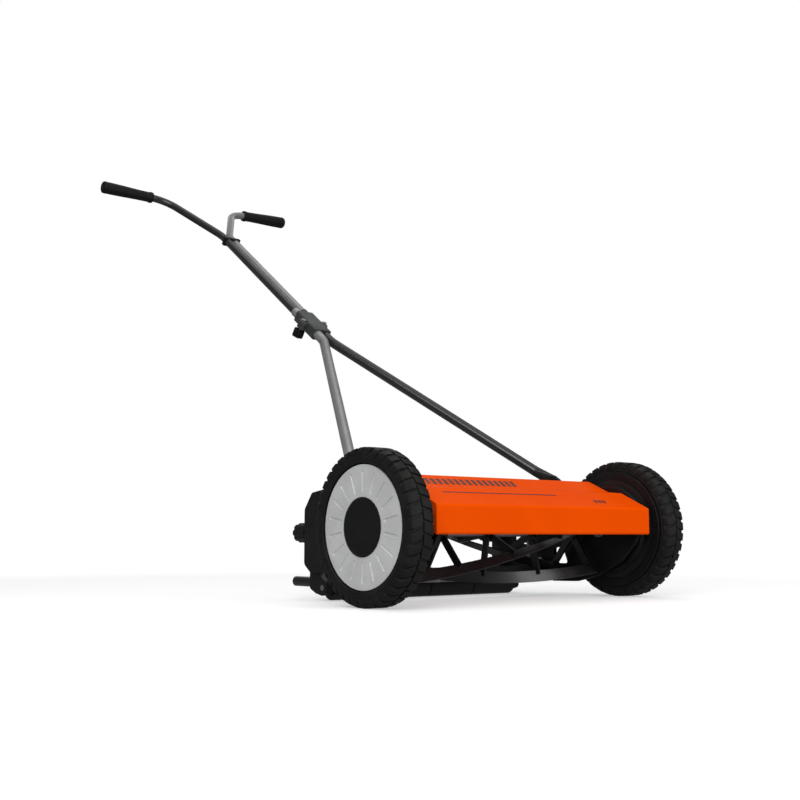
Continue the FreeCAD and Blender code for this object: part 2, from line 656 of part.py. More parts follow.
def bed():
    """Bed bar on its two ears, the knife under it and the knife's screws."""
    bar = new_body("bed_bar")
    pivot = (size("BedPivotY"), size("BedPivotZ"))
    section = [(114.5, 35.8), (114.5, 41), (122, 41, 2), (122, 56), (127.5, 56), (127.5, 30),
               (125.2, 30), (125.2, 35.8)]
    pad(bar, draw(bar, "YZ_Plane", rounded(section)), "2 * Sizes.BedHalf", both=True)
    fit = size("PivotRadius") + size("RunFit")
    for side in (RIGHT, LEFT):
        outer = f"{side} * (Sizes.PlateInner - {EAR_PLAY})"
        pad(bar, draw(bar, "YZ_Plane", rounded(EAR), [(*pivot, fit)], outer), str(EAR_THICK), side > 0)
        pad(bar, draw(bar, "YZ_Plane", rounded(TAIL), (), f"{side} * {TAIL_FACE}"), str(TAIL_WIDE),
            side > 0)
    keep(bar, "bed_bar", GROUND)
    knife = new_body("bed_knife")
    edge = [(92.4, 32.9), (92.4, 35.7), (125, 35.7), (125, KNIFE_UNDER), (95, KNIFE_UNDER)]
    pad(knife, draw(knife, "YZ_Plane", rounded(edge)), "2 * Sizes.BedHalf", both=True)
    keep(knife, "bed_knife", GROUND)
    screws = []
    for i in range(KNIFE_SCREWS):
        x = KNIFE_SCREW_PITCH * (i - (KNIFE_SCREWS - 1) / 2)
        screws.append(bolt(f"knife_screw_{i}", KNIFE_SCREW_RADIUS, KNIFE_SCREW_LONG, KNIFE_HEAD,
                           KNIFE_HEAD_HIGH, (x, KNIFE_SCREW_Y, KNIFE_UNDER), Rotation()))
    keep(group("bed_knife_screws", screws), "bed_knife_screws", GROUND)
    for name, side in SIDES:
        shank = rod(f"{name}_screw_shank", "Sizes.PivotRadius", BED_SCREW_LONG,
                    (0, 0, BED_SCREW_FOOT))
        hexagonal = hexagon(BED_HEAD_RADIUS, BED_HEAD_HIGH).translated(Vector(0, 0, BED_HEAD_FOOT))
        head = feature(f"{name}_screw_head", hexagonal)
        screw = fuse(f"{name}_bed_screw", [shank, head])
        at = (f"{side * BED_SCREW[0]}", f"Sizes.AxleY + {BED_SCREW[1]}", "0")
        keep(screw, f"{name}_bed_screw", at)


# ----------------------------------------------------------------- roller

ARM = [(246, 148, 3), (261.6, 148, 3), (261.6, 20, 6), (244, 12, 8), (225, 8, 10),
       (211, 12, 8), (211, 32, 8), (224, 38, 8), (246, 48, 8)]
PIN_X, PIN_LONG, PIN_Y, PIN_Z = 224.9, 54, 261.6, 31
STUD_LONG, STUD_Y = 38, 258
ROLLER_AXLE_LONG = 467.2
ROLLERS, ROLLER_GAP, ROLLER_CHAMFER = 4, 2, 1
SCALLOP_OUT, SCALLOP_RADIUS = 2.5, 4.2
HEIGHT_KNOB_HIGH, HEIGHT_KNOB_LOBES, HEIGHT_KNOB_BORE, HEIGHT_KNOB_Y = 33, 8, 27, 269.3


def roller_carriage():
    """Two sliding arms, the axle, its four rollers, studs, knobs and catcher pins."""
    pins, studs = [], []
    for name, side in SIDES:
        arm = new_body(f"{name}_roller_arm")
        bore = (size("RollerY"), size("RollerRadius"), size("RollerAxle"), "Sizes.RollerAxle")
        inner = f"{side} * Sizes.ArmInner"
        pad(arm, draw(arm, "YZ_Plane", rounded(ARM), [bore], inner), "Sizes.ArmThick", side < 0)
        keep(arm, f"{name}_roller_arm", GROUND)
        pins.append(rod(f"{name}_pin", "Sizes.PinRadius", PIN_LONG, (side * PIN_X, PIN_Y, PIN_Z), TO_Y))
        studs.append(rod(f"{name}_stud", "Sizes.PivotRadius", STUD_LONG,
                         (side * size("StudX"), STUD_Y, size("StudZ")), TO_Y))
        height_knob(name, side)
    keep(group("catcher_pins", pins), "catcher_pins", GROUND)
    keep(group("height_studs", studs), "height_studs", GROUND)
    axle_rod = rod("roller_axle", "Sizes.RollerAxle", ROLLER_AXLE_LONG, turn=TO_X)
    keep(axle_rod, "roller_axle", (str(-ROLLER_AXLE_LONG / 2), *ROLLER[1:]))
    wide = (2 * size("RollerHalf") - (ROLLERS - 1) * ROLLER_GAP) / ROLLERS
    fit = size("RollerAxle") + size("RunFit")
    radius = size("RollerRadius")
    edge = ROLLER_CHAMFER
    for i in range(ROLLERS):
        low = -size("RollerHalf") + i * (wide + ROLLER_GAP)
        high = low + wide
        shape = [(low, fit), (low, radius - edge), (low + edge, radius), (high - edge, radius),
                 (high, radius - edge), (high, fit)]
        keep(turned(f"roller_{i + 1}", shape), f"roller_{i + 1}", ROLLER)


def lobed_knob(name, radius, high, lobes, bore, deep):
    """A lobed knob standing on Z = 0 with a blind bore from below."""
    core = Part.makeCylinder(radius, high)
    scallops = []
    for i in range(lobes):
        u, v = polar(radius + SCALLOP_OUT, 360 * (i + 0.5) / lobes)
        scallops.append(Part.makeCylinder(SCALLOP_RADIUS, high, Vector(u, v, 0)))
    knob = core.cut(scallops[0].multiFuse(scallops[1:]))
    return feature(name, knob.cut(Part.makeCylinder(bore, deep)))


def height_knob(name, side):
    """Knob on the stud that clamps the roller arm to its slotted flange."""
    fit = size("PivotRadius") + size("RunFit")
    knob = lobed_knob(f"{name}_height_knob", size("KnobRadius"), HEIGHT_KNOB_HIGH,
                      HEIGHT_KNOB_LOBES, fit, HEIGHT_KNOB_BORE)
    at = (f"{side} * Sizes.StudX", f"Sizes.AxleY + {HEIGHT_KNOB_Y}", "Sizes.StudZ")
    keep(knob, f"{name}_height_knob", at, TO_Y)


# ----------------------------------------------------------------- handle

FOOT_HALF, FOOT_LONG = 12, 13
TUBE_BEGIN = 44
LOWER_BEND = 60
UPPER_BENDS = (65, 70)
GRIP_FROM, GRIP_LONG = 34, 128.5
GRIP_END_ROUND, GRIP_MOUTH_ROUND = 5.0, 2.0
GRIP_CORNER = {side: Vector(side * 95, 1212.5, 3) for side in (RIGHT, LEFT)}
GRIP_TIP = {side: Vector(side * 253, 1221.8, 3) for side in (RIGHT, LEFT)}


def bent_path(points, radii):
    """Straight runs joined by tangent arcs; `radii` belongs to the inner points."""
    edges = []
    start = points[0]
    for before, corner, after, radius in zip(points, points[1:], points[2:], radii):
        back, ahead = (before - corner).normalize(), (after - corner).normalize()
        half = back.getAngle(ahead) / 2
        run = radius / math.tan(half)
        middle = corner + (back + ahead).normalize() * (radius / math.sin(half) - radius)
        edges.append(Part.LineSegment(start, corner + back * run).toShape())
        edges.append(Part.Arc(corner + back * run, middle, corner + ahead * run).toShape())
        start = corner + ahead * run
    edges.append(Part.LineSegment(start, points[-1]).toShape())
    return Part.Wire(edges)


def pipe(name, path, radius, start, ahead):
    """A swept round bar whose radius is an expression."""
    spine = feature(f"{name}_spine", path)
    ring = doc.addObject("Part::Circle", f"{name}_ring")
    ring.setExpression("Radius", radius)
    ring.Placement = Placement(start, Rotation(Z_AXIS, ahead))
    sweep = doc.addObject("Part::Sweep", name)
    sweep.Sections = [ring]
    sweep.Spine = (spine, [f"Edge{i + 1}" for i in range(len(path.Edges))])
    sweep.Solid = True
    sweep.Frenet = False
    sweep.Transition = "Right corner"
    return sweep


def lower_tube(name, side):
    """Lower tube: flattened foot, straight run and a bend into the pair."""
    slope = math.tan(math.radians(size("LowerSplay")))
    foot, pair = size("FootX"), size("PairHalf")
    corner = (foot - pair) / slope
    start = Vector(side * (foot - TUBE_BEGIN * slope), TUBE_BEGIN, 0)
    points = [start, Vector(side * pair, corner, 0), Vector(side * pair, size("LowerEnd"), 0)]
    path = bent_path(points, [LOWER_BEND])
    ahead = (points[1] - start).normalize()
    outer = pipe(f"{name}_outer", path, "Sizes.LowerRadius", start, ahead)
    inner = pipe(f"{name}_inner", path, "Sizes.LowerBore", start, ahead)
    tube = cut(f"{name}_hollow", outer, inner)
    flat = turned_section(FOOT_HALF, FOOT_THICK / 2, Vector(side * foot, FOOT_LONG, 0), Y_AXIS)
    circle = turned_section(size("LowerRadius"), size("LowerRadius"), start, ahead)
    neck = Part.makeLoft([flat, circle], True, False)
    face = Vector(side * foot - FOOT_THICK / 2, 0, 0)
    pad_end = Part.makeCylinder(FOOT_HALF, FOOT_THICK, face, X_AXIS)
    bore = Part.makeCylinder(size("PivotRadius") + size("RunFit"), FOOT_THICK, face, X_AXIS)
    pad_shape = Part.makeBox(FOOT_THICK, FOOT_LONG, 2 * FOOT_HALF, face - Z_AXIS * FOOT_HALF)
    foot_shape = neck.multiFuse([pad_shape, pad_end]).cut(bore)
    keep(fuse(name, [tube, feature(f"{name}_foot", foot_shape)]), name, HANDLE, SLOPE)


def turned_section(tall, wide, centre, ahead):
    """An ellipse across `ahead`, tall along the handle plane's normal."""
    across = ahead.cross(Z_AXIS).normalize()
    if tall == wide:
        return Part.Wire([Part.makeCircle(tall, centre, ahead)])
    curve = Part.Ellipse(centre + Z_AXIS * tall, centre + across * wide, centre)
    return Part.Wire([curve.toShape()])


def upper_tube(name, side):
    """Upper tube: parallel run, outward bend and the cross run under the grip."""
    pair = size("PairHalf")
    start = Vector(side * pair, size("UpperStart"), 0)
    first = Vector(side * pair, size("UpperBend"), 0)
    points = [start, first, GRIP_CORNER[side], GRIP_TIP[side]]
    path = bent_path(points, UPPER_BENDS)
    outer = pipe(f"{name}_outer", path, "Sizes.UpperRadius", start, Y_AXIS)
    inner = pipe(f"{name}_inner", path, "Sizes.UpperBore", start, Y_AXIS)
    keep(cut(name, outer, inner), name, HANDLE, SLOPE)


def grip(name, side):
    """Moulded grip over the end of the upper tube."""
    ahead = (GRIP_TIP[side] - GRIP_CORNER[side]).normalize()
    turn = Rotation(Z_AXIS, ahead)
    start = GRIP_CORNER[side] + ahead * GRIP_FROM
    sleeve = rod(f"{name}_sleeve", "Sizes.GripRadius", GRIP_LONG, start, turn)
    flared = doc.addObject("Part::Fillet", f"{name}_round")
    flared.Base = sleeve
    flared.Edges = [(1, GRIP_END_ROUND, GRIP_END_ROUND), (3, GRIP_MOUTH_ROUND, GRIP_MOUTH_ROUND)]
    bore = rod(f"{name}_bore", "Sizes.UpperRadius", (GRIP_TIP[side] - start).Length, start, turn)
    keep(cut(name, flared, bore), name, HANDLE, SLOPE)


CLAMP_S = 590
CLAMP_X = 27.5
CLAMP_HALF = 12.5
CLAMP_WIDE, CLAMP_LONG = 42, 84
CLAMP_EAR_WIDE, CLAMP_EAR_LONG, CLAMP_EAR_HIGH = 66, 22, 8
CLAMP_GAP, CLAMP_ROUND, EAR_ROUND = 0.4, 4, 5
CLAMP_KNOB_RADIUS, CLAMP_KNOB_HIGH, CLAMP_KNOB_LOBES, CLAMP_KNOB_BORE = 12, 16, 6, 13
CLAMP_KNOB_PLAY = 0.3
CLAMP_BOLT_LONG, CLAMP_HEAD, CLAMP_HEAD_HIGH = 21, 5.5, 4
CLIP_HALF, CLIP_HIGH, CLIP_FROM, CLIP_TO = 20.4, 10.2, 1009, 1018


def clamp():
    """Two moulded clamp halves, their bolts and the clamp knob under them."""
    keep(clamp_half("clamp_base", -CLAMP_HALF, -CLAMP_GAP, -CLAMP_EAR_HIGH - 1), "clamp_base",
         HANDLE, SLOPE)
    keep(clamp_half("clamp_cap", CLAMP_GAP, CLAMP_HALF, CLAMP_EAR_HIGH), "clamp_cap", HANDLE, SLOPE)
    bolts = []
    knob_bolt = CLAMP_EAR_HIGH + CLAMP_HALF + CLAMP_KNOB_BORE
    for (name, side), length in zip(SIDES, (knob_bolt, CLAMP_BOLT_LONG)):
        bolts.append(bolt(f"{name}_clamp_bolt", size("ClampBolt"), length, CLAMP_HEAD, CLAMP_HEAD_HIGH,
                          (side * CLAMP_X, CLAMP_S, CLAMP_EAR_HIGH), Rotation(X_AXIS, 180)))
    hinge_nut = hexagon(CLAMP_HEAD, CLAMP_HEAD_HIGH)
    hinge_nut = hinge_nut.cut(Part.makeCylinder(size("ClampBolt"), CLAMP_HEAD_HIGH))
    under = -CLAMP_EAR_HIGH - 1 - CLAMP_HEAD_HIGH
    bolts.append(feature("left_clamp_nut", hinge_nut.translated(Vector(CLAMP_X, CLAMP_S, under))))
    keep(group("clamp_bolts", bolts), "clamp_bolts", HANDLE, SLOPE)
    fit = size("ClampBolt") + size("RunFit")
    knob = lobed_knob("clamp_knob", CLAMP_KNOB_RADIUS, CLAMP_KNOB_HIGH, CLAMP_KNOB_LOBES, fit,
                      CLAMP_KNOB_BORE)
    at = SLOPE.multVec(Vector(-CLAMP_X, CLAMP_S, -CLAMP_HALF - CLAMP_KNOB_PLAY))
    keep(knob, "clamp_knob",
         (f"{at.x}", f"Sizes.AxleY + Sizes.FootY + {at.y}", f"Sizes.FootZ + {at.z}"),
         SLOPE * Rotation(X_AXIS, 180))


def clamp_half(name, low, high, ear_face):
    """One half of the clamp: a block with an ear each side, bored for tubes and bolts."""
    middle = Part.makeBox(CLAMP_WIDE, CLAMP_LONG, high - low,
                          Vector(-CLAMP_WIDE / 2, CLAMP_S - CLAMP_LONG / 2, low))
    middle = middle.makeFillet(CLAMP_ROUND, [e for e in middle.Edges if outer_edge(e, low, high)])
    ear_low, ear_high = (ear_face, high) if ear_face < 0 else (low, ear_face)
    ears = Part.makeBox(CLAMP_EAR_WIDE, CLAMP_EAR_LONG, ear_high - ear_low,
                        Vector(-CLAMP_EAR_WIDE / 2, CLAMP_S - CLAMP_EAR_LONG / 2, ear_low))
    ears = ears.makeFillet(EAR_ROUND, [e for e in ears.Edges if upright(e)])
    solid = middle.fuse(ears)
    reach = 2 * CLAMP_LONG
    for side in (RIGHT, LEFT):
        seat = Part.makeCylinder(size("LowerRadius"), reach,
                                 Vector(side * size("PairHalf"), CLAMP_S - CLAMP_LONG, 0), Y_AXIS)
        hole = Part.makeCylinder(size("ClampBolt"), reach,
                                 Vector(side * CLAMP_X, CLAMP_S, -CLAMP_LONG), Z_AXIS)
        solid = solid.cut(seat).cut(hole)
    return feature(name, solid)


def outer_edge(edge, low, high):
    """True for the long outer edges of a clamp half."""
    box = edge.BoundBox
    face = low if abs(low) > abs(high) else high
    return box.YLength > CLAMP_EAR_LONG and abs(box.ZMin - face) < 0.01


def upright(edge):
    """True for the corner edges of the clamp's ears."""
    return edge.BoundBox.ZLength > 1


def tube_clip():
    """Small clip that ties the two upper tubes below their bend."""
    body = block("clip_block", (-CLIP_HALF, CLIP_FROM, -CLIP_HIGH), (CLIP_HALF, CLIP_TO, CLIP_HIGH))
    holes = [rod(f"{name}_clip_hole", "Sizes.UpperRadius", CLIP_TO - CLIP_FROM,
                 (side * size("PairHalf"), CLIP_FROM, 0), TO_Y) for name, side in SIDES]
    keep(cut("tube_clip", body, fuse("clip_holes", holes)), "tube_clip", HANDLE, SLOPE)


# ------------------------------------------------------------------ build

def check():
    """Stop if any object failed or any piece is not sound."""
    for thing in doc.Objects:
        if {"Invalid", "Error"} & set(thing.State):
            raise RuntimeError(f"{thing.Label} failed: {thing.State}")
    labels = [thing.Label for thing in nodes]
    if len(set(labels)) != len(labels):
        raise RuntimeError("two pieces share a label")
    for thing in nodes:
        if thing.Shape.isNull() or not thing.Shape.isValid() or not thing.Shape.Solids:
            raise RuntimeError(f"{thing.Label} has no sound solid")


def write():
    os.makedirs("parts", exist_ok=True)
    for old in os.listdir("parts"):
        os.remove(os.path.join("parts", old))
    for thing in nodes:
        thing.Shape.exportStep(f"parts/{thing.Label}.step")
    print(len(nodes), "pieces written")


for word, sign in SIDES:
    side_plate(f"{word}_side_plate", sign)
    axle(f"{word}_axle", sign)
    wheel(word, sign)
    gears(word, sign)
    lower_tube(f"{word}_lower_tube", sign)
    upper_tube(f"{word}_upper_tube", sign)
    grip(f"{word}_grip", sign)
cover()
frame_fasteners()
wheel_clips()
reel_shaft()
spiders()
for index in range(BLADES):
    blade(index)
bed()
roller_carriage()
clamp()
tube_clip()
doc.recompute()
check()
write()
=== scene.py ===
"""Looks of a push reel mower: rubber, paint, moulded plastic and steel around its CAD frame."""

import logging
import math
from dataclasses import dataclass, field
from enum import Enum
from typing import Sequence

import bmesh
import bpy
from mathutils import Matrix, Vector


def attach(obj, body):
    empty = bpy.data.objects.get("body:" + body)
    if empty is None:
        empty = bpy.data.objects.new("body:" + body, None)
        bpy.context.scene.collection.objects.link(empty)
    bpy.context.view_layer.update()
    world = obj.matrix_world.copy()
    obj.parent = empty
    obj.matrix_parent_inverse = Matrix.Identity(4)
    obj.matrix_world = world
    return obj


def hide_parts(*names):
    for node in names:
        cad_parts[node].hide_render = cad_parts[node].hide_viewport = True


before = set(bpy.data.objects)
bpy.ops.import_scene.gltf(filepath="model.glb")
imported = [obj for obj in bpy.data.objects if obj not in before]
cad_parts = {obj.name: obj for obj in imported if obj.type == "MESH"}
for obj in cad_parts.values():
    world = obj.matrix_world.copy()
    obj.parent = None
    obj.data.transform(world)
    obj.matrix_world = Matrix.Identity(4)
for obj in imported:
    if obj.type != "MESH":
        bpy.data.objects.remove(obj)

LOG = logging.getLogger("reel_mower")
MM = 0.001
WHEEL_AXLE_Y = -494.9
WHEEL_AXLE_Z = 125.0
BEVEL_ANGLE = 38.0
BEVEL_SEGMENTS = 2
HANDLE_CORNER = (95.0, 1212.5, 3.0)

Colour = tuple[float, float, float]
Place = tuple[float, float, float]
Slope = tuple[float, float, float, float]
Section = list[Vector]


class Side(Enum):
    """The two ends of the mower, named as the person pushing it sees them."""

    RIGHT = -1
    LEFT = 1

    @property
    def word(self) -> str:
        """Spell the side as the frame's nodes do.

        Returns:
            The side's name in small letters.
        """
        return self.name.lower()


class Texture(Enum):
    """How a surface was made, with the roughness of its fine relief."""

    MOULDED = 0.62
    PEEL = 0.3
    BRUSHED = 0.5
    RUBBER = 0.7


# ---------------------------------------------------------------- shader groups


@dataclass
class Graph:
    """A node tree with short calls for adding and joining nodes."""

    tree: bpy.types.NodeTree

    def add(self, kind: str, **settings: object) -> bpy.types.Node:
        """Add a node.

        Args:
            kind: The node's type without its ShaderNode prefix.
            settings: Properties of the node.

        Returns:
            The new node.
        """
        prefix = "" if kind.startswith("NodeGroup") else "ShaderNode"
        node = self.tree.nodes.new(prefix + kind)
        for name, value in settings.items():
            setattr(node, name, value)
        return node

    def join(self, source: bpy.types.NodeSocket, target: bpy.types.NodeSocket) -> None:
        """Link two sockets.

        Args:
            source: The output socket.
            target: The input socket.
        """
        self.tree.links.new(source, target)

    def math(self, operation: str, first: object, second: object = 0.0) -> bpy.types.NodeSocket:
        """Add a math node.

        Args:
            operation: The node's operation.
            first: A socket or a number.
            second: A socket or a number.

        Returns:
            The result socket.
        """
        node = self.add("Math", operation=operation)
        for i, value in enumerate((first, second)):
            if isinstance(value, bpy.types.NodeSocket):
                self.join(value, node.inputs[i])
            else:
                node.inputs[i].default_value = value
        return node.outputs[0]

    def remap(self, value: bpy.types.NodeSocket, low: float, high: float,
              to_low: float, to_high: float) -> bpy.types.NodeSocket:
        """Map a range of values to another one, smoothly and clamped.

        Args:
            value: The socket to map.
            low: Value that becomes to_low.
            high: Value that becomes to_high.
            to_low: Result at low.
            to_high: Result at high.

        Returns:
            The result socket.
        """
        node = self.add("MapRange", interpolation_type="SMOOTHSTEP")
        self.join(value, node.inputs["Value"])
        for socket, number in zip(("From Min", "From Max", "To Min", "To Max"),
                                  (low, high, to_low, to_high)):
            node.inputs[socket].default_value = number
        return node.outputs["Result"]

    def mix(self, factor: bpy.types.NodeSocket, first: object,
            second: object) -> bpy.types.NodeSocket:
        """Mix two colours.

        Args:
            factor: How much of the second colour shows.
            first: A colour or a socket.
            second: A colour or a socket.

        Returns:
            The mixed colour's socket.
        """
        node = self.add("Mix", data_type="RGBA")
        self.join(factor, node.inputs[0])
        for i, value in ((6, first), (7, second)):
            if isinstance(value, bpy.types.NodeSocket):
                self.join(value, node.inputs[i])
            else:
                node.inputs[i].default_value = (*value, 1.0)
        return node.outputs[2]

    def place(self, group: bpy.types.NodeTree, **values: object) -> bpy.types.Node:
        """Place a node group with its own values.

        Args:
            group: The group to place.
            values: Input values or sockets, with _ for each space in a name.

        Returns:
            The group node.
        """
        node = self.add("Group", node_tree=group)
        for name, value in values.items():
            socket = node.inputs[name.replace("_", " ")]
            if isinstance(value, bpy.types.NodeSocket):
                self.join(value, socket)
            else:
                socket.default_value = value
        return node


def new_group(name: str, inputs: Sequence[tuple[str, str, object]],
              outputs: Sequence[tuple[str, str]]) -> tuple[Graph, bpy.types.Node, bpy.types.Node]:
    """Start a shader node group.

    Args:
        name: The group's name.
        inputs: Name, socket type and default of each input.
        outputs: Name and socket type of each output.

    Returns:
        The group's graph, its input node and its output node.
    """
    tree = bpy.data.node_groups.new(name, "ShaderNodeTree")
    for label, kind, default in inputs:
        socket = tree.interface.new_socket(label, in_out="INPUT", socket_type="NodeSocket" + kind)
        if default is not None:
            socket.default_value = default
    for label, kind in outputs:
        tree.interface.new_socket(label, in_out="OUTPUT", socket_type="NodeSocket" + kind)
    graph = Graph(tree)
    return graph, graph.add("NodeGroupInput"), graph.add("NodeGroupOutput")


@dataclass
class SurfaceGroups:
    """The node groups that the mower's finishes share."""

    grain: bpy.types.NodeTree = field(init=False)
    mottle: bpy.types.NodeTree = field(init=False)
    wear: bpy.types.NodeTree = field(init=False)
    dust: bpy.types.NodeTree = field(init=False)

    def __post_init__(self) -> None:
        """Build the four groups once."""
        self.grain = self.build_grain()
        self.mottle = self.build_mottle()
        self.wear = self.build_wear()
        self.dust = self.build_dust()

    def build_grain(self) -> bpy.types.NodeTree:
        """Fine relief whose cells can be stretched along an axis.

        Returns:
            A group that puts out a value and a normal.
        """
        graph, given, out = new_group(
            "surface_grain",
            [("Stretch", "Vector", (1.0, 1.0, 1.0)), ("Scale", "Float", 400.0),
             ("Rough", "Float", 0.5), ("Depth", "Float", 0.0001)],
            [("Value", "Float"), ("Normal", "Vector")])
        place = graph.add("TexCoord")
        spread = graph.add("VectorMath", operation="MULTIPLY")
        graph.join(place.outputs["Object"], spread.inputs[0])
        graph.join(given.outputs["Stretch"], spread.inputs[1])
        noise = graph.add("TexNoise")
        noise.inputs["Detail"].default_value = 3.0
        graph.join(spread.outputs[0], noise.inputs["Vector"])
        graph.join(given.outputs["Scale"], noise.inputs["Scale"])
        graph.join(given.outputs["Rough"], noise.inputs["Roughness"])
        bump = graph.add("Bump")
        graph.join(noise.outputs["Fac"], bump.inputs["Height"])
        graph.join(given.outputs["Depth"], bump.inputs["Distance"])
        graph.join(noise.outputs["Fac"], out.inputs["Value"])
        graph.join(bump.outputs["Normal"], out.inputs["Normal"])
        return graph.tree

    def build_mottle(self) -> bpy.types.NodeTree:
        """Broad, soft change of tone over a surface.

        Returns:
            A group that puts out a value from 0 to 1.
        """
        graph, given, out = new_group("tone_mottle", [("Scale", "Float", 12.0)],
                                      [("Value", "Float")])
        place = graph.add("TexCoord")
        noise = graph.add("TexNoise")
        noise.inputs["Detail"].default_value = 5.0
        noise.inputs["Distortion"].default_value = 0.4
        graph.join(place.outputs["Object"], noise.inputs["Vector"])
        graph.join(given.outputs["Scale"], noise.inputs["Scale"])
        graph.join(graph.remap(noise.outputs["Fac"], 0.32, 0.68, 0.0, 1.0), out.inputs["Value"])
        return graph.tree

    def build_wear(self) -> bpy.types.NodeTree:
        """Mask of rubbed edges, broken up by noise.

        Returns:
            A group that puts out a mask from 0 to 1.
        """
        graph, given, out = new_group(
            "edge_wear", [("Radius", "Float", 0.0008), ("Amount", "Float", 0.4)],
            [("Mask", "Float")])
        bevel = graph.add("Bevel", samples=4)
        graph.join(given.outputs["Radius"], bevel.inputs["Radius"])
        plain = graph.add("NewGeometry")
        turn = graph.add("VectorMath", operation="DOT_PRODUCT")
        graph.join(bevel.outputs["Normal"], turn.inputs[0])
        graph.join(plain.outputs["Normal"], turn.inputs[1])
        edge = graph.remap(turn.outputs["Value"], 0.985, 0.86, 0.0, 1.0)
        place = graph.add("TexCoord")
        noise = graph.add("TexNoise")
        noise.inputs["Scale"].default_value = 190.0
        noise.inputs["Detail"].default_value = 4.0
        graph.join(place.outputs["Object"], noise.inputs["Vector"])
        broken = graph.remap(noise.outputs["Fac"], 0.42, 0.66, 0.0, 1.0)
        mask = graph.math("MULTIPLY", graph.math("MULTIPLY", edge, broken),
                          given.outputs["Amount"])
        graph.join(mask, out.inputs["Mask"])
        return graph.tree

    def build_dust(self) -> bpy.types.NodeTree:
        """Mask of fine dust that settles on what faces up.

        Returns:
            A group that puts out a mask from 0 to 1.
        """
        graph, given, out = new_group("settled_dust", [("Amount", "Float", 0.1)],
                                      [("Mask", "Float")])
        plain = graph.add("NewGeometry")
        parts = graph.add("SeparateXYZ")
        graph.join(plain.outputs["Normal"], parts.inputs[0])
        up = graph.remap(parts.outputs["Z"], 0.1, 0.95, 0.15, 1.0)
        place = graph.add("TexCoord")
        noise = graph.add("TexNoise")
        noise.inputs["Scale"].default_value = 65.0
        noise.inputs["Detail"].default_value = 6.0
        graph.join(place.outputs["Object"], noise.inputs["Vector"])
        patch = graph.remap(noise.outputs["Fac"], 0.38, 0.72, 0.0, 1.0)
        mask = graph.math("MULTIPLY", graph.math("MULTIPLY", up, patch),
                          given.outputs["Amount"])
        graph.join(mask, out.inputs["Mask"])
        return graph.tree


# -------------------------------------------------------------------- finishes


@dataclass(frozen=True)
class Finish:
    """One finish: colours, gloss, relief, and how it has worn."""

    name: str
    colour: Colour
    second: Colour
    texture: Texture
    roughness: float
    roughness_spread: float = 0.08
    metallic: float = 0.0
    specular: float = 0.5
    coat: float = 0.0
    coat_roughness: float = 0.1
    sheen: float = 0.0
    grain_scale: float = 600.0
    grain_depth: float = 0.0001
    stretch: Colour = (1.0, 1.0, 1.0)
    mottle_scale: float = 14.0
    wear: float = 0.0
    wear_colour: Colour = (0.35, 0.35, 0.35)
    wear_radius: float = 0.0005
    dust: float = 0.0
    dust_colour: Colour = (0.28, 0.26, 0.22)

    def material(self, groups: SurfaceGroups) -> bpy.types.Material:
        """Build the finish's material.

        Args:
            groups: The shared node groups.

        Returns:
            The new material.
        """
        made = bpy.data.materials.new(self.name)
        made.use_nodes = True
        graph = Graph(made.node_tree)
        shader = made.node_tree.nodes["Principled BSDF"]
        tone = graph.place(groups.mottle, Scale=self.mottle_scale).outputs["Value"]
        grain = graph.place(groups.grain, Stretch=self.stretch, Scale=self.grain_scale,
                            Depth=self.grain_depth, Rough=self.texture.value)
        shade = graph.mix(tone, self.colour, self.second)
        rough = graph.math(
            "ADD", graph.math("MULTIPLY", grain.outputs["Value"], self.roughness_spread),
            graph.math("MULTIPLY", tone, self.roughness_spread))
        rough = graph.math("ADD", rough, self.roughness - self.roughness_spread)
        if self.wear:
            rubbed = graph.place(groups.wear, Radius=self.wear_radius, Amount=self.wear)
            shade = graph.mix(rubbed.outputs["Mask"], shade, self.wear_colour)
        if self.dust:
            mask = graph.place(groups.dust, Amount=self.dust).outputs["Mask"]
            shade = graph.mix(mask, shade, self.dust_colour)
            rough = graph.math("ADD", rough, graph.math("MULTIPLY", mask, 0.4))
        graph.join(shade, shader.inputs["Base Color"])
        graph.join(rough, shader.inputs["Roughness"])
        graph.join(grain.outputs["Normal"], shader.inputs["Normal"])
        shader.inputs["Metallic"].default_value = self.metallic
        shader.inputs["Specular IOR Level"].default_value = self.specular
        shader.inputs["Coat Weight"].default_value = self.coat
        shader.inputs["Coat Roughness"].default_value = self.coat_roughness
        shader.inputs["Sheen Weight"].default_value = self.sheen
        return made


ORANGE_PAINT = Finish(
    "orange_powder_coat", (0.97, 0.091, 0.0), (0.93, 0.082, 0.0), Texture.PEEL, 0.36,
    roughness_spread=0.05, specular=0.015, grain_scale=420.0, grain_depth=0.00002,
    mottle_scale=7.0, wear=0.16, wear_colour=(0.95, 0.2, 0.03))
FRAME_PLASTIC = Finish(
    "filled_nylon_black", (0.006, 0.0062, 0.0066), (0.010, 0.0103, 0.011), Texture.MOULDED, 0.46,
    roughness_spread=0.1, specular=0.22, grain_scale=900.0, grain_depth=0.00003, wear=0.35,
    wear_colour=(0.045, 0.045, 0.046), dust=0.04)
CAP_PLASTIC = Finish(
    "cap_fine_black", (0.005, 0.0052, 0.0056), (0.008, 0.0082, 0.0088), Texture.MOULDED, 0.42,
    roughness_spread=0.07, specular=0.2, grain_scale=1500.0, grain_depth=0.00002, wear=0.25,
    wear_colour=(0.04, 0.04, 0.042), dust=0.03)
TYRE_RUBBER = Finish(
    "tyre_rubber", (0.006, 0.006, 0.0063), (0.0105, 0.0104, 0.0102), Texture.RUBBER, 0.6,
    roughness_spread=0.12, specular=0.2, grain_scale=1100.0, grain_depth=0.00005,
    mottle_scale=30.0, wear=0.4, wear_colour=(0.028, 0.028, 0.028), wear_radius=0.0012, dust=0.07)
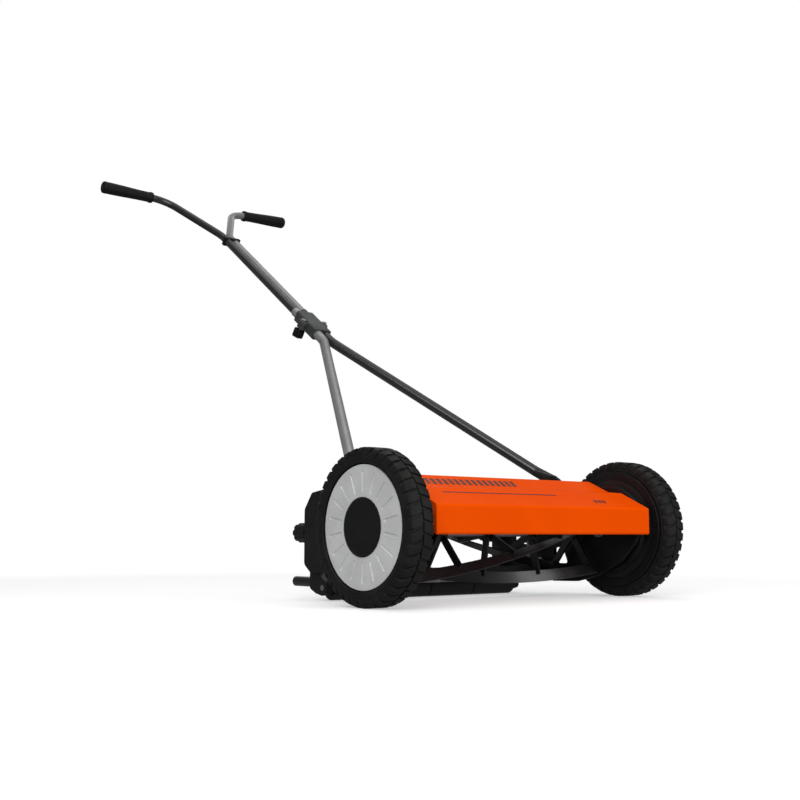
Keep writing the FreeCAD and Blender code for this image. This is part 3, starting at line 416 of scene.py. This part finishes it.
GRIP_RUBBER = Finish(
    "grip_soft_rubber", (0.0045, 0.0045, 0.0048), (0.0075, 0.0075, 0.0078), Texture.RUBBER, 0.55,
    roughness_spread=0.09, specular=0.2, sheen=0.01, grain_scale=1700.0, grain_depth=0.00003,
    mottle_scale=40.0, wear=0.3, wear_colour=(0.04, 0.04, 0.04), dust=0.04)
DISC_SILVER = Finish(
    "disc_satin_silver", (0.725, 0.727, 0.731), (0.81, 0.812, 0.816), Texture.PEEL, 0.4,
    roughness_spread=0.07, metallic=0.18, coat=0.15, coat_roughness=0.2, grain_scale=900.0,
    grain_depth=0.000012, mottle_scale=20.0, wear=0.3, wear_colour=(0.68, 0.68, 0.68), dust=0.06)
GEAR_NYLON = Finish(
    "gear_dark_nylon", (0.009, 0.009, 0.0095), (0.014, 0.014, 0.015), Texture.MOULDED, 0.46,
    specular=0.36, grain_scale=1300.0, grain_depth=0.00002, wear=0.3,
    wear_colour=(0.06, 0.06, 0.06), dust=0.05)
BRONZE = Finish(
    "sintered_bronze", (0.45, 0.27, 0.12), (0.36, 0.2, 0.085), Texture.MOULDED, 0.4,
    metallic=1.0, grain_scale=2200.0, grain_depth=0.00005, wear=0.2, wear_colour=(0.7, 0.5, 0.26))
TURNED_STEEL = Finish(
    "turned_steel", (0.33, 0.33, 0.34), (0.25, 0.25, 0.26), Texture.BRUSHED, 0.34,
    roughness_spread=0.1, metallic=1.0, grain_scale=500.0, grain_depth=0.00003,
    stretch=(7.0, 1.0, 1.0), wear=0.25, wear_colour=(0.6, 0.6, 0.6), dust=0.04)
ZINC_STEEL = Finish(
    "zinc_plate", (0.46, 0.46, 0.44), (0.36, 0.36, 0.35), Texture.BRUSHED, 0.36,
    roughness_spread=0.12, metallic=1.0, grain_scale=900.0, grain_depth=0.00003,
    mottle_scale=90.0, wear=0.3, wear_colour=(0.72, 0.72, 0.7), dust=0.05)
BLACK_PAINT = Finish(
    "satin_black_paint", (0.0065, 0.0067, 0.0072), (0.010, 0.0103, 0.011), Texture.PEEL, 0.33,
    roughness_spread=0.08, specular=0.36, coat=0.12, coat_roughness=0.16, grain_scale=520.0,
    grain_depth=0.00002, wear=0.4, wear_colour=(0.08, 0.08, 0.08), dust=0.03)
KNIFE_STEEL = Finish(
    "ground_knife_steel", (0.2, 0.2, 0.21), (0.13, 0.13, 0.135), Texture.BRUSHED, 0.3,
    roughness_spread=0.12, metallic=1.0, grain_scale=500.0, grain_depth=0.00004,
    stretch=(0.5, 9.0, 9.0), wear=0.4, wear_colour=(0.55, 0.55, 0.55), dust=0.05)
ROLLER_PLASTIC = Finish(
    "roller_black", (0.006, 0.006, 0.0063), (0.0095, 0.0095, 0.0098), Texture.MOULDED, 0.48,
    specular=0.36, grain_scale=700.0, grain_depth=0.00003, wear=0.3,
    wear_colour=(0.04, 0.04, 0.04), dust=0.06)
LIGHT_TUBE = Finish(
    "tube_light_grey", (0.35, 0.356, 0.344), (0.302, 0.308, 0.298), Texture.PEEL, 0.33,
    roughness_spread=0.06, metallic=0.45, coat=0.2, coat_roughness=0.14, grain_scale=480.0,
    grain_depth=0.000006, dust=0.03)
DARK_TUBE = Finish(
    "tube_dark_grey", (0.026, 0.027, 0.0275), (0.02, 0.021, 0.0215), Texture.PEEL, 0.3,
    roughness_spread=0.06, metallic=0.2, coat=0.25, coat_roughness=0.14, grain_scale=480.0,
    grain_depth=0.000006, dust=0.03)
CLAMP_GREY = Finish(
    "clamp_moulded_grey", (0.06, 0.068, 0.062), (0.044, 0.05, 0.046), Texture.MOULDED, 0.46,
    roughness_spread=0.1, specular=0.4, grain_scale=900.0, grain_depth=0.00003,
    wear=0.4, wear_colour=(0.22, 0.23, 0.22), dust=0.04)
DECAL_INK = Finish(
    "decal_dark_ink", (0.14, 0.018, 0.005), (0.19, 0.022, 0.005), Texture.PEEL, 0.38,
    roughness_spread=0.05, coat=0.2, grain_scale=600.0, grain_depth=0.00003, mottle_scale=60.0)

SLOT_FINISHES: dict[str, Finish] = {
    "orange_paint": ORANGE_PAINT, "frame_black": FRAME_PLASTIC, "tyre_rubber": TYRE_RUBBER,
    "silver_disc": DISC_SILVER, "cap_black": CAP_PLASTIC, "gear_nylon": GEAR_NYLON,
    "bronze": BRONZE, "plain_steel": TURNED_STEEL, "zinc_steel": ZINC_STEEL,
    "black_paint": BLACK_PAINT, "knife_steel": KNIFE_STEEL, "roller_black": ROLLER_PLASTIC,
    "tube_grey": LIGHT_TUBE, "tube_dark": DARK_TUBE, "clamp_grey": CLAMP_GREY,
    "grip_rubber": GRIP_RUBBER,
}


@dataclass
class Wardrobe:
    """Every finish made once, ready to put on pieces."""

    groups: SurfaceGroups = field(default_factory=SurfaceGroups)
    made: dict[str, bpy.types.Material] = field(default_factory=dict)

    def get(self, finish: Finish) -> bpy.types.Material:
        """Find a finish's material, built the first time it is asked for.

        Args:
            finish: The finish.

        Returns:
            Its material.
        """
        if finish.name not in self.made:
            self.made[finish.name] = finish.material(self.groups)
        return self.made[finish.name]

    def dress(self, piece: bpy.types.Object, finish: Finish) -> None:
        """Put a finish on a piece.

        Args:
            piece: A piece of the script's own or a frame node.
            finish: What it gets.
        """
        if not piece.material_slots:
            piece.data.materials.append(self.get(finish))
            return
        for slot in piece.material_slots:
            slot.link = "OBJECT"
            slot.material = self.get(finish)


# ------------------------------------------------------------------ mesh making


@dataclass
class Shell:
    """A mesh in the making, from closed sections joined one after another."""

    points: list[Vector] = field(default_factory=list)
    faces: list[tuple[int, ...]] = field(default_factory=list)

    def sweep(self, sections: Sequence[Section], looped: bool = False) -> None:
        """Join sections into a tube, closed on itself or by its two end faces.

        Args:
            sections: Closed outlines with the same number of points.
            looped: Whether the last section joins the first.
        """
        start, count = len(self.points), len(sections[0])
        for section in sections:
            self.points.extend(section)
        last = len(sections) if looped else len(sections) - 1
        for i in range(last):
            here = start + i * count
            there = start + (i + 1) % len(sections) * count
            for k in range(count):
                after = (k + 1) % count
                self.faces.append((here + k, here + after, there + after, there + k))
        if not looped:
            self.faces.append(tuple(start + k for k in reversed(range(count))))
            end = start + (len(sections) - 1) * count
            self.faces.append(tuple(end + k for k in range(count)))

    def make(self, name: str, sharp: float = 35.0) -> bpy.types.Object:
        """Turn the shell into an object.

        Args:
            name: The object's name.
            sharp: Angle in degrees above which an edge stays sharp.

        Returns:
            The object, linked to the scene.
        """
        mesh = bpy.data.meshes.new(name)
        mesh.from_pydata([tuple(p) for p in self.points], [], self.faces)
        work = bmesh.new()
        work.from_mesh(mesh)
        bmesh.ops.recalc_face_normals(work, faces=work.faces)
        work.to_mesh(mesh)
        work.free()
        mesh.shade_smooth()
        mesh.set_sharp_from_angle(angle=math.radians(sharp))
        made = bpy.data.objects.new(name, mesh)
        bpy.context.scene.collection.objects.link(made)
        return made


def soften(piece: bpy.types.Object, width: float) -> None:
    """Round a piece's edges with a Bevel modifier.

    Args:
        piece: The piece.
        width: Rounding in millimetres.
    """
    bevel = piece.modifiers.new("soft_edges", "BEVEL")
    bevel.width = width * MM
    bevel.segments = BEVEL_SEGMENTS
    bevel.limit_method = "ANGLE"
    bevel.angle_limit = math.radians(BEVEL_ANGLE)


# ---------------------------------------------------------------------- wheels


@dataclass
class TreadTyre:
    """A solid rubber tyre with two staggered rows of slanted lugs, in millimetres."""

    side: Side
    inner_face: float = 276.0
    outer_face: float = 324.0
    seat: float = 106.0
    carcass: float = 121.4
    crown: float = 125.0
    lugs: int = 40
    around: int = 170
    lug_share: float = 0.7
    lug_foot: float = 1.12
    lug_taper: float = 0.2
    slant: float = 0.062
    rounding: float = 0.45

    def point(self, across: float, radius: float, turn: float) -> Vector:
        """Place a point of the wheel.

        Args:
            across: Distance from the mower's middle.
            radius: Distance from the axle.
            turn: Angle about the axle.

        Returns:
            The point in the frame, in metres.
        """
        return Vector((self.side.value * across,
                       WHEEL_AXLE_Y + radius * math.cos(turn),
                       WHEEL_AXLE_Z + radius * math.sin(turn))) * MM

    def carcass_outline(self) -> list[tuple[float, float]]:
        """Draw the tyre's section without lugs, with two sidewall ribs.

        Returns:
            Distance from the mower's middle and from the axle, for each corner.
        """
        near, far = self.inner_face, self.outer_face
        return [
            (near + 0.4, self.seat), (near + 0.2, 110.5), (near + 0.9, 111.3), (near + 0.9, 112.6),
            (near + 0.4, 113.4), (near + 2.2, 116.6), (near + 5.5, self.carcass),
            (near + 15, self.carcass + 0.7), (far - 15, self.carcass + 0.7),
            (far - 5.5, self.carcass), (far - 1.9, 116.0), (far - 0.7, 112.6), (far - 0.2, 111.2),
            (far - 0.9, 110.5), (far - 0.9, 109.3), (far - 0.1, 108.4), (far - 0.4, 103.4),
            (far - 1.6, 100.6), (far - 4.6, 99.8), (far - 7.5, self.seat - 4.2),
            (far - 8, self.seat),
        ]

    def lug(self, shell: Shell, row: int, index: int) -> None:
        """Add one lug.

        Args:
            shell: The shell that takes it.
            row: -1 for the row nearer the mower, 1 for the outer row.
            index: The lug's number in its row.
        """
        middle = (self.inner_face + self.outer_face) / 2
        half = (self.outer_face - self.inner_face) / 2
        step = 2 * math.pi / self.lugs
        base = (index + (0.5 if row > 0 else 0.0)) * step
        deep, top = self.carcass - 1.2, self.crown
        outline = [(1.4, deep), (1.4, top - 0.7), (2.1, top), (half - 7.5, top),
                   (half - 3.2, top - 1.9), (half - 0.9, top - 6.2), (half - 0.15, top - 11.2),
                   (half - 1.6, top - 12.0), (half - 5.0, deep)]
        sections = []
        for part in (-0.5, -0.17, 0.17, 0.5):
            section = []
            for out, radius in outline:
                taper = self.lug_foot - self.lug_taper * out / half
                spread = step * self.lug_share * part * taper
                turn = base + spread + self.slant * (out / half)
                section.append(self.point(middle + row * out, radius, turn))
            sections.append(section)
        shell.sweep(sections)

    def build(self, wardrobe: Wardrobe) -> bpy.types.Object:
        """Build the tyre, dress it and put it on its wheel.

        Args:
            wardrobe: The finishes.

        Returns:
            The tyre.
        """
        shell = Shell()
        outline = self.carcass_outline()
        shell.sweep([[self.point(x, r, 2 * math.pi * i / self.around) for x, r in outline]
                     for i in range(self.around)], looped=True)
        for row in (-1, 1):
            for index in range(self.lugs):
                self.lug(shell, row, index)
        tyre = shell.make(f"{self.side.word}_tread_tyre")
        soften(tyre, self.rounding)
        wardrobe.dress(tyre, TYRE_RUBBER)
        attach(tyre, f"{self.side.word}_wheel")
        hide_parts(f"{self.side.word}_tyre")
        LOG.info("tyre %s: %d lugs", tyre.name, 2 * self.lugs)
        return tyre


# ---------------------------------------------------------------------- handle


@dataclass
class HandlePlane:
    """The sloping plane that the handle's tubes lie in, in millimetres and degrees."""

    foot_y: float = 118.0
    foot_z: float = 210.8
    slope: float = 36.36

    def point(self, across: float, along: float, out: float) -> Vector:
        """Place a point of the handle.

        Args:
            across: Distance from the mower's middle, to the left.
            along: Distance up the handle from its foot.
            out: Distance out of the plane.

        Returns:
            The point in the frame, in metres.
        """
        turn = Matrix.Rotation(math.radians(self.slope), 3, "X")
        foot = Vector((0.0, WHEEL_AXLE_Y + self.foot_y, self.foot_z))
        return (foot + turn @ Vector((across, along, out))) * MM


@dataclass
class RibbedGrip:
    """A soft grip: a collar, a waist with fine flutes, and a rounded end, in millimetres."""

    side: Side
    plane: HandlePlane = field(default_factory=HandlePlane)
    corner: Place = HANDLE_CORNER
    tip: Place = (253.0, 1221.8, 3.0)
    start: float = 34.0
    length: float = 128.5
    radius: float = 14.5
    waist: float = 12.2
    swelling: float = 2.0
    plain_end: float = 14.0
    end_round: float = 5.0
    rows: int = 46
    around: int = 120
    flutes: int = 30
    flute_depth: float = 0.32
    sharp: float = 40.0

    def profile(self) -> list[tuple[float, float, float]]:
        """Draw the grip's outline from its collar to its rounded end.

        Returns:
            Distance along, radius and flute depth of each section.
        """
        reach, full = self.length, self.radius
        rows = [(0.0, 11.2, 0.0), (0.5, 12.2, 0.0), (1.6, 13.0, 0.0), (3.0, 13.4, 0.0),
                (6.5, 13.5, 0.0), (8.4, 13.2, 0.0), (9.6, 12.3, 0.0), (11.0, 12.0, 0.0)]
        first, last = self.plain_end, reach - self.plain_end
        for i in range(self.rows + 1):
            part = i / self.rows
            swell = self.waist + self.swelling * (1 - math.cos(math.pi * part)) / 2
            fade = min(1.0, min(i, self.rows - i) / 3)
            rows.append((first + (last - first) * part, swell, self.flute_depth * fade))
        rows += [(reach - 12.0, full - 0.3, 0.0), (reach - 10.8, full - 0.9, 0.0),
                 (reach - 9.6, full - 0.3, 0.0), (reach - 8.6, full, 0.0)]
        for turn in range(0, 91, 15):
            angle = math.radians(turn)
            along = reach - self.end_round + self.end_round * math.sin(angle)
            rows.append((along, full - self.end_round + self.end_round * math.cos(angle), 0.0))
        rows += [(reach - 0.02, 6.0, 0.0), (reach - 0.6, 5.4, 0.0)]
        return rows

    def build(self, wardrobe: Wardrobe) -> bpy.types.Object:
        """Build the grip, dress it and put it on the upper handle.

        Args:
            wardrobe: The finishes.

        Returns:
            The grip.
        """
        mirrored = Vector((self.side.value, 1.0, 1.0))
        corner = self.plane.point(*(mirrored * Vector(self.corner)))
        tip = self.plane.point(*(mirrored * Vector(self.tip)))
        ahead = (tip - corner).normalized()
        across = ahead.orthogonal().normalized()
        third = ahead.cross(across)
        sections = []
        for along, radius, depth in self.profile():
            middle = corner + ahead * (self.start + along) * MM
            section = []
            for i in range(self.around):
                angle = 2 * math.pi * i / self.around
                reach = (radius - depth * (0.5 + 0.5 * math.cos(self.flutes * angle))) * MM
                outward = across * math.cos(angle) + third * math.sin(angle)
                section.append(middle + outward * reach)
            sections.append(section)
        shell = Shell()
        shell.sweep(sections)
        grip = shell.make(f"{self.side.word}_ribbed_grip", self.sharp)
        wardrobe.dress(grip, GRIP_RUBBER)
        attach(grip, "handle_upper")
        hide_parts(f"{self.side.word}_grip")
        LOG.info("grip %s", grip.name)
        return grip


@dataclass
class UpperTube:
    """A bent upper tube as one smooth sweep with round bends, in millimetres."""

    side: Side
    finish: Finish
    plane: HandlePlane = field(default_factory=HandlePlane)
    radius: float = 8.75
    half_gap: float = 10.15
    low_end: float = 575.0
    bend: float = 1045.0
    corner: Place = HANDLE_CORNER
    tip: Place = (252.0, 1221.74, 3.0)
    bend_radii: tuple[float, float] = (65.0, 70.0)
    around: int = 64
    steps: int = 20

    def route(self) -> list[tuple[Vector, Vector]]:
        """Follow the tube's middle, with an arc at each corner.

        Returns:
            A point and a direction for each section, in the handle's plane.
        """
        mirrored = Vector((self.side.value, 1.0, 1.0))
        corners = [Vector((self.half_gap, self.low_end, 0.0)),
                   Vector((self.half_gap, self.bend, 0.0)), Vector(self.corner), Vector(self.tip)]
        corners = [mirrored * point for point in corners]
        stations = [(corners[0], (corners[1] - corners[0]).normalized())]
        for i, radius in enumerate(self.bend_radii, start=1):
            before = (corners[i] - corners[i - 1]).normalized()
            after = (corners[i + 1] - corners[i]).normalized()
            turn = before.angle(after)
            inward = (after - before * before.dot(after)).normalized()
            begin = corners[i] - before * radius * math.tan(turn / 2)
            for k in range(self.steps + 1):
                part = turn * k / self.steps
                place = begin + (before * math.sin(part) + inward * (1 - math.cos(part))) * radius
                stations.append((place, before * math.cos(part) + inward * math.sin(part)))
        stations.append((corners[-1], (corners[-1] - corners[-2]).normalized()))
        return stations

    def build(self, wardrobe: Wardrobe) -> bpy.types.Object:
        """Build the tube, dress it and put it on the upper handle.

        Args:
            wardrobe: The finishes.

        Returns:
            The tube.
        """
        sections = []
        across = Vector((0.0, 0.0, 1.0))
        for middle, ahead in self.route():
            across = (across - ahead * ahead.dot(across)).normalized()
            third = ahead.cross(across)
            section = []
            for i in range(self.around):
                angle = 2 * math.pi * i / self.around
                reach = across * math.cos(angle) + third * math.sin(angle)
                section.append(self.plane.point(*(middle + reach * self.radius)))
            sections.append(section)
        shell = Shell()
        shell.sweep(sections)
        tube = shell.make(f"{self.side.word}_bent_tube")
        wardrobe.dress(tube, self.finish)
        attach(tube, "handle_upper")
        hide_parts(f"{self.side.word}_upper_tube")
        LOG.info("tube %s: %s", tube.name, self.finish.name)
        return tube


# ----------------------------------------------------------------------- cover


@dataclass(frozen=True)
class MarkRow:
    """A row of equal marks on one slope of the cover, in millimetres."""

    name: str
    slope: Slope
    first: float
    width: float
    low: float
    high: float
    lean: float = 0.0
    count: int = 1
    pitch: float = 0.0


LOWER_SLOPE: Slope = (-99.5, 160.0, -37.0, 189.5)
UPPER_SLOPE: Slope = (-7.0, 192.0, 40.0, 213.0)
MARK_ROWS = (
    MarkRow("cover_pinstripe", LOWER_SLOPE, -203.0, 263.0, 47.0, 51.0),
    MarkRow("cover_slanted_bars", UPPER_SLOPE, -196.0, 8.6, 10.0, 36.0, 9.0, 17, 13.2),
    MarkRow("cover_short_mark", LOWER_SLOPE, 132.0, 7.5, 20.0, 33.0, 4.0, 3, 11.0),
)


@dataclass
class CoverMarks:
    """Plain printed marks on the cover's two slopes, in millimetres from the wheel axle."""

    lift: float = 0.16
    sunk: float = 0.3

    def mark(self, shell: Shell, row: MarkRow, near: float) -> None:
        """Add one flat mark to a shell.

        Args:
            shell: The shell that takes it.
            row: The row that the mark belongs to.
            near: The mark's lowest x.
        """
        y0, z0, y1, z1 = row.slope
        run = math.hypot(y1 - y0, z1 - z0)
        up, out = Vector((0, y1 - y0, z1 - z0)) / run, Vector((0, z0 - z1, y1 - y0)) / run
        origin = Vector((0, WHEEL_AXLE_Y + y0, z0))
        far = near + row.width
        corners = ((near, row.low), (far, row.low),
                   (far + row.lean, row.high), (near + row.lean, row.high))
        shell.sweep([[(origin + Vector((x, 0, 0)) + up * t + out * depth) * MM for x, t in corners]
                     for depth in (-self.sunk, self.lift)])

    def build(self, wardrobe: Wardrobe) -> None:
        """Build the pinstripe, the row of slanted bars and the short mark.

        Args:
            wardrobe: The finishes.
        """
        for row in MARK_ROWS:
            shell = Shell()
            for i in range(row.count):
                self.mark(shell, row, row.first + i * row.pitch)
            piece = shell.make(row.name)
            wardrobe.dress(piece, DECAL_INK)
            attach(piece, "frame")
            LOG.info("mark %s", row.name)


# --------------------------------------------------------------- frame's nodes


@dataclass
class FrameDress:
    """Finishes and softened edges for the nodes that stay as the frame has them."""

    dark_tubes: tuple[str, ...] = ("left_lower_tube",)
    softened: dict[str, float] = field(default_factory=lambda: {
        "right_side_plate": 0.7, "left_side_plate": 0.7, "front_cover": 0.35,
        "clamp_base": 0.9, "clamp_cap": 0.9, "right_roller_arm": 0.7, "left_roller_arm": 0.7,
        "right_height_knob": 0.6, "left_height_knob": 0.6, "clamp_knob": 0.6,
        "bed_bar": 0.4, "right_hub_cap": 0.3, "left_hub_cap": 0.3, "roller_1": 0.6,
        "roller_2": 0.6, "roller_3": 0.6, "roller_4": 0.6, "catcher_pins": 0.5,
        "right_wheel_disc": 0.25, "left_wheel_disc": 0.25, "tube_clip": 0.5,
    })

    def build(self, wardrobe: Wardrobe) -> None:
        """Dress every node by its material slot.

        Args:
            wardrobe: The finishes.
        """
        for name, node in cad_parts.items():
            slot = node.material_slots[0].material.name.split(".")[0]
            finish = DARK_TUBE if name in self.dark_tubes else SLOT_FINISHES[slot]
            wardrobe.dress(node, finish)
            if name in self.softened:
                soften(node, self.softened[name])
            LOG.info("node %s: %s", name, finish.name)


# ---------------------------------------------------------------------- studio


@dataclass(frozen=True)
class Lamp:
    """One soft rectangular light, in metres and watts."""

    name: str
    place: Place
    aim: Place
    size: tuple[float, float]
    power: float

    def build(self) -> None:
        """Add the light to the scene."""
        lamp = bpy.data.lights.new(self.name, "AREA")
        lamp.shape = "RECTANGLE"
        lamp.size, lamp.size_y = self.size
        lamp.energy = self.power
        holder = bpy.data.objects.new(self.name, lamp)
        holder.location = self.place
        ahead = Vector(self.aim) - Vector(self.place)
        holder.rotation_euler = ahead.to_track_quat("-Z", "Y").to_euler()
        bpy.context.scene.collection.objects.link(holder)


LAMPS = (
    Lamp("key_light", (-2.6, -2.4, 1.9), (0.0, -0.35, 0.25), (2.2, 2.2), 70.0),
    Lamp("top_light", (0.2, -0.3, 3.2), (0.0, -0.3, 0.0), (3.2, 3.2), 27.0),
    Lamp("front_light", (1.0, -3.4, 0.9), (0.0, -0.4, 0.2), (1.8, 1.4), 38.0),
    Lamp("back_light", (1.6, 2.6, 2.0), (0.0, 0.1, 0.5), (2.0, 1.6), 12.0),
)
WHITE: Colour = (1.0, 1.0, 1.0)
BLACK: Colour = (0.0, 0.0, 0.0)


@dataclass
class Studio:
    """Pale floor, soft lights, white surroundings and the camera."""

    floor_radius: float = 30.0
    floor_thick: float = 0.02
    floor_sides: int = 96
    fade_from: float = 0.8
    fade_to: float = 1.6
    floor_seen: Colour = (0.93, 0.93, 0.93)
    floor_lit: Colour = (0.3, 0.3, 0.3)
    glow_seen: Colour = (0.4, 0.4, 0.4)
    glow_lit: Colour = (0.12, 0.12, 0.12)
    camera_place: Place = (-1.4373, -1.9468, 0.1116)
    camera_pitch: float = 6.5995
    camera_yaw: float = -39.428
    lens: float = 52.83
    surround_seen: float = 1.0
    surround_light: float = 0.2

    def floor(self) -> None:
        """Build the pale floor, which turns to plain white far from the mower."""
        shell = Shell()
        turns = [2 * math.pi * i / self.floor_sides for i in range(self.floor_sides)]
        ring = [Vector((math.cos(turn), math.sin(turn), 0.0)) for turn in turns]
        drop = Vector((0, 0, -self.floor_thick))
        shell.sweep([[p * self.floor_radius + drop for p in ring],
                     [p * self.floor_radius for p in ring]])
        piece = shell.make("studio_floor")
        made = bpy.data.materials.new("studio_white")
        made.use_nodes = True
        graph = Graph(made.node_tree)
        shader = made.node_tree.nodes["Principled BSDF"]
        place = graph.add("NewGeometry")
        reach = graph.add("VectorMath", operation="LENGTH")
        graph.join(place.outputs["Position"], reach.inputs[0])
        far = graph.remap(reach.outputs["Value"], self.fade_from, self.fade_to, 0.0, 1.0)
        seen = graph.add("LightPath").outputs["Is Camera Ray"]
        near = graph.mix(seen, self.floor_lit, self.floor_seen)
        graph.join(graph.mix(far, near, BLACK), shader.inputs["Base Color"])
        glow = graph.mix(far, self.glow_seen, WHITE)
        graph.join(graph.mix(seen, self.glow_lit, glow), shader.inputs["Emission Color"])
        shader.inputs["Emission Strength"].default_value = 1.0
        shader.inputs["Roughness"].default_value = 0.6
        shader.inputs["Specular IOR Level"].default_value = 0.1
        piece.data.materials.append(made)

    def world(self) -> None:
        """White surroundings for the camera, greyer ones for light and reflections."""
        world = bpy.data.worlds.new("studio_surround")
        bpy.context.scene.world = world
        world.use_nodes = True
        graph = Graph(world.node_tree)
        world.node_tree.nodes.clear()
        seen, lighting = graph.add("Background"), graph.add("Background")
        seen.inputs["Strength"].default_value = self.surround_seen
        seen.inputs["Color"].default_value = (1.0, 1.0, 1.0, 1.0)
        lighting.inputs["Strength"].default_value = self.surround_light
        lighting.inputs["Color"].default_value = (0.97, 0.985, 1.0, 1.0)
        rays, choice, out = graph.add("LightPath"), graph.add("MixShader"), graph.add("OutputWorld")
        graph.join(rays.outputs["Is Camera Ray"], choice.inputs[0])
        graph.join(lighting.outputs[0], choice.inputs[1])
        graph.join(seen.outputs[0], choice.inputs[2])
        graph.join(choice.outputs[0], out.inputs[0])

    def camera(self) -> None:
        """Place the camera low in front of the mower's right wheel."""
        data = bpy.data.cameras.new("studio_camera")
        data.lens = self.lens
        data.sensor_width = 36.0
        data.clip_end = 100.0
        holder = bpy.data.objects.new("studio_camera", data)
        holder.location = self.camera_place
        holder.rotation_euler = (math.radians(90 + self.camera_pitch), 0.0,
                                 math.radians(self.camera_yaw))
        bpy.context.scene.collection.objects.link(holder)
        bpy.context.scene.camera = holder

    def build(self) -> None:
        """Set up the whole studio."""
        self.floor()
        self.world()
        self.camera()
        for lamp in LAMPS:
            lamp.build()
        bpy.context.scene.view_settings.view_transform = "Standard"
        LOG.info("studio ready")


def main() -> None:
    """Build every sub-assembly's looks, then the studio."""
    logging.basicConfig(level=logging.INFO, format="%(name)s: %(message)s")
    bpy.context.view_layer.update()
    wardrobe = Wardrobe()
    FrameDress().build(wardrobe)
    for side in Side:
        TreadTyre(side).build(wardrobe)
        RibbedGrip(side).build(wardrobe)
        UpperTube(side, DARK_TUBE if side is Side.RIGHT else LIGHT_TUBE).build(wardrobe)
    CoverMarks().build(wardrobe)
    Studio().build()


if __name__ == "__main__":
    main()
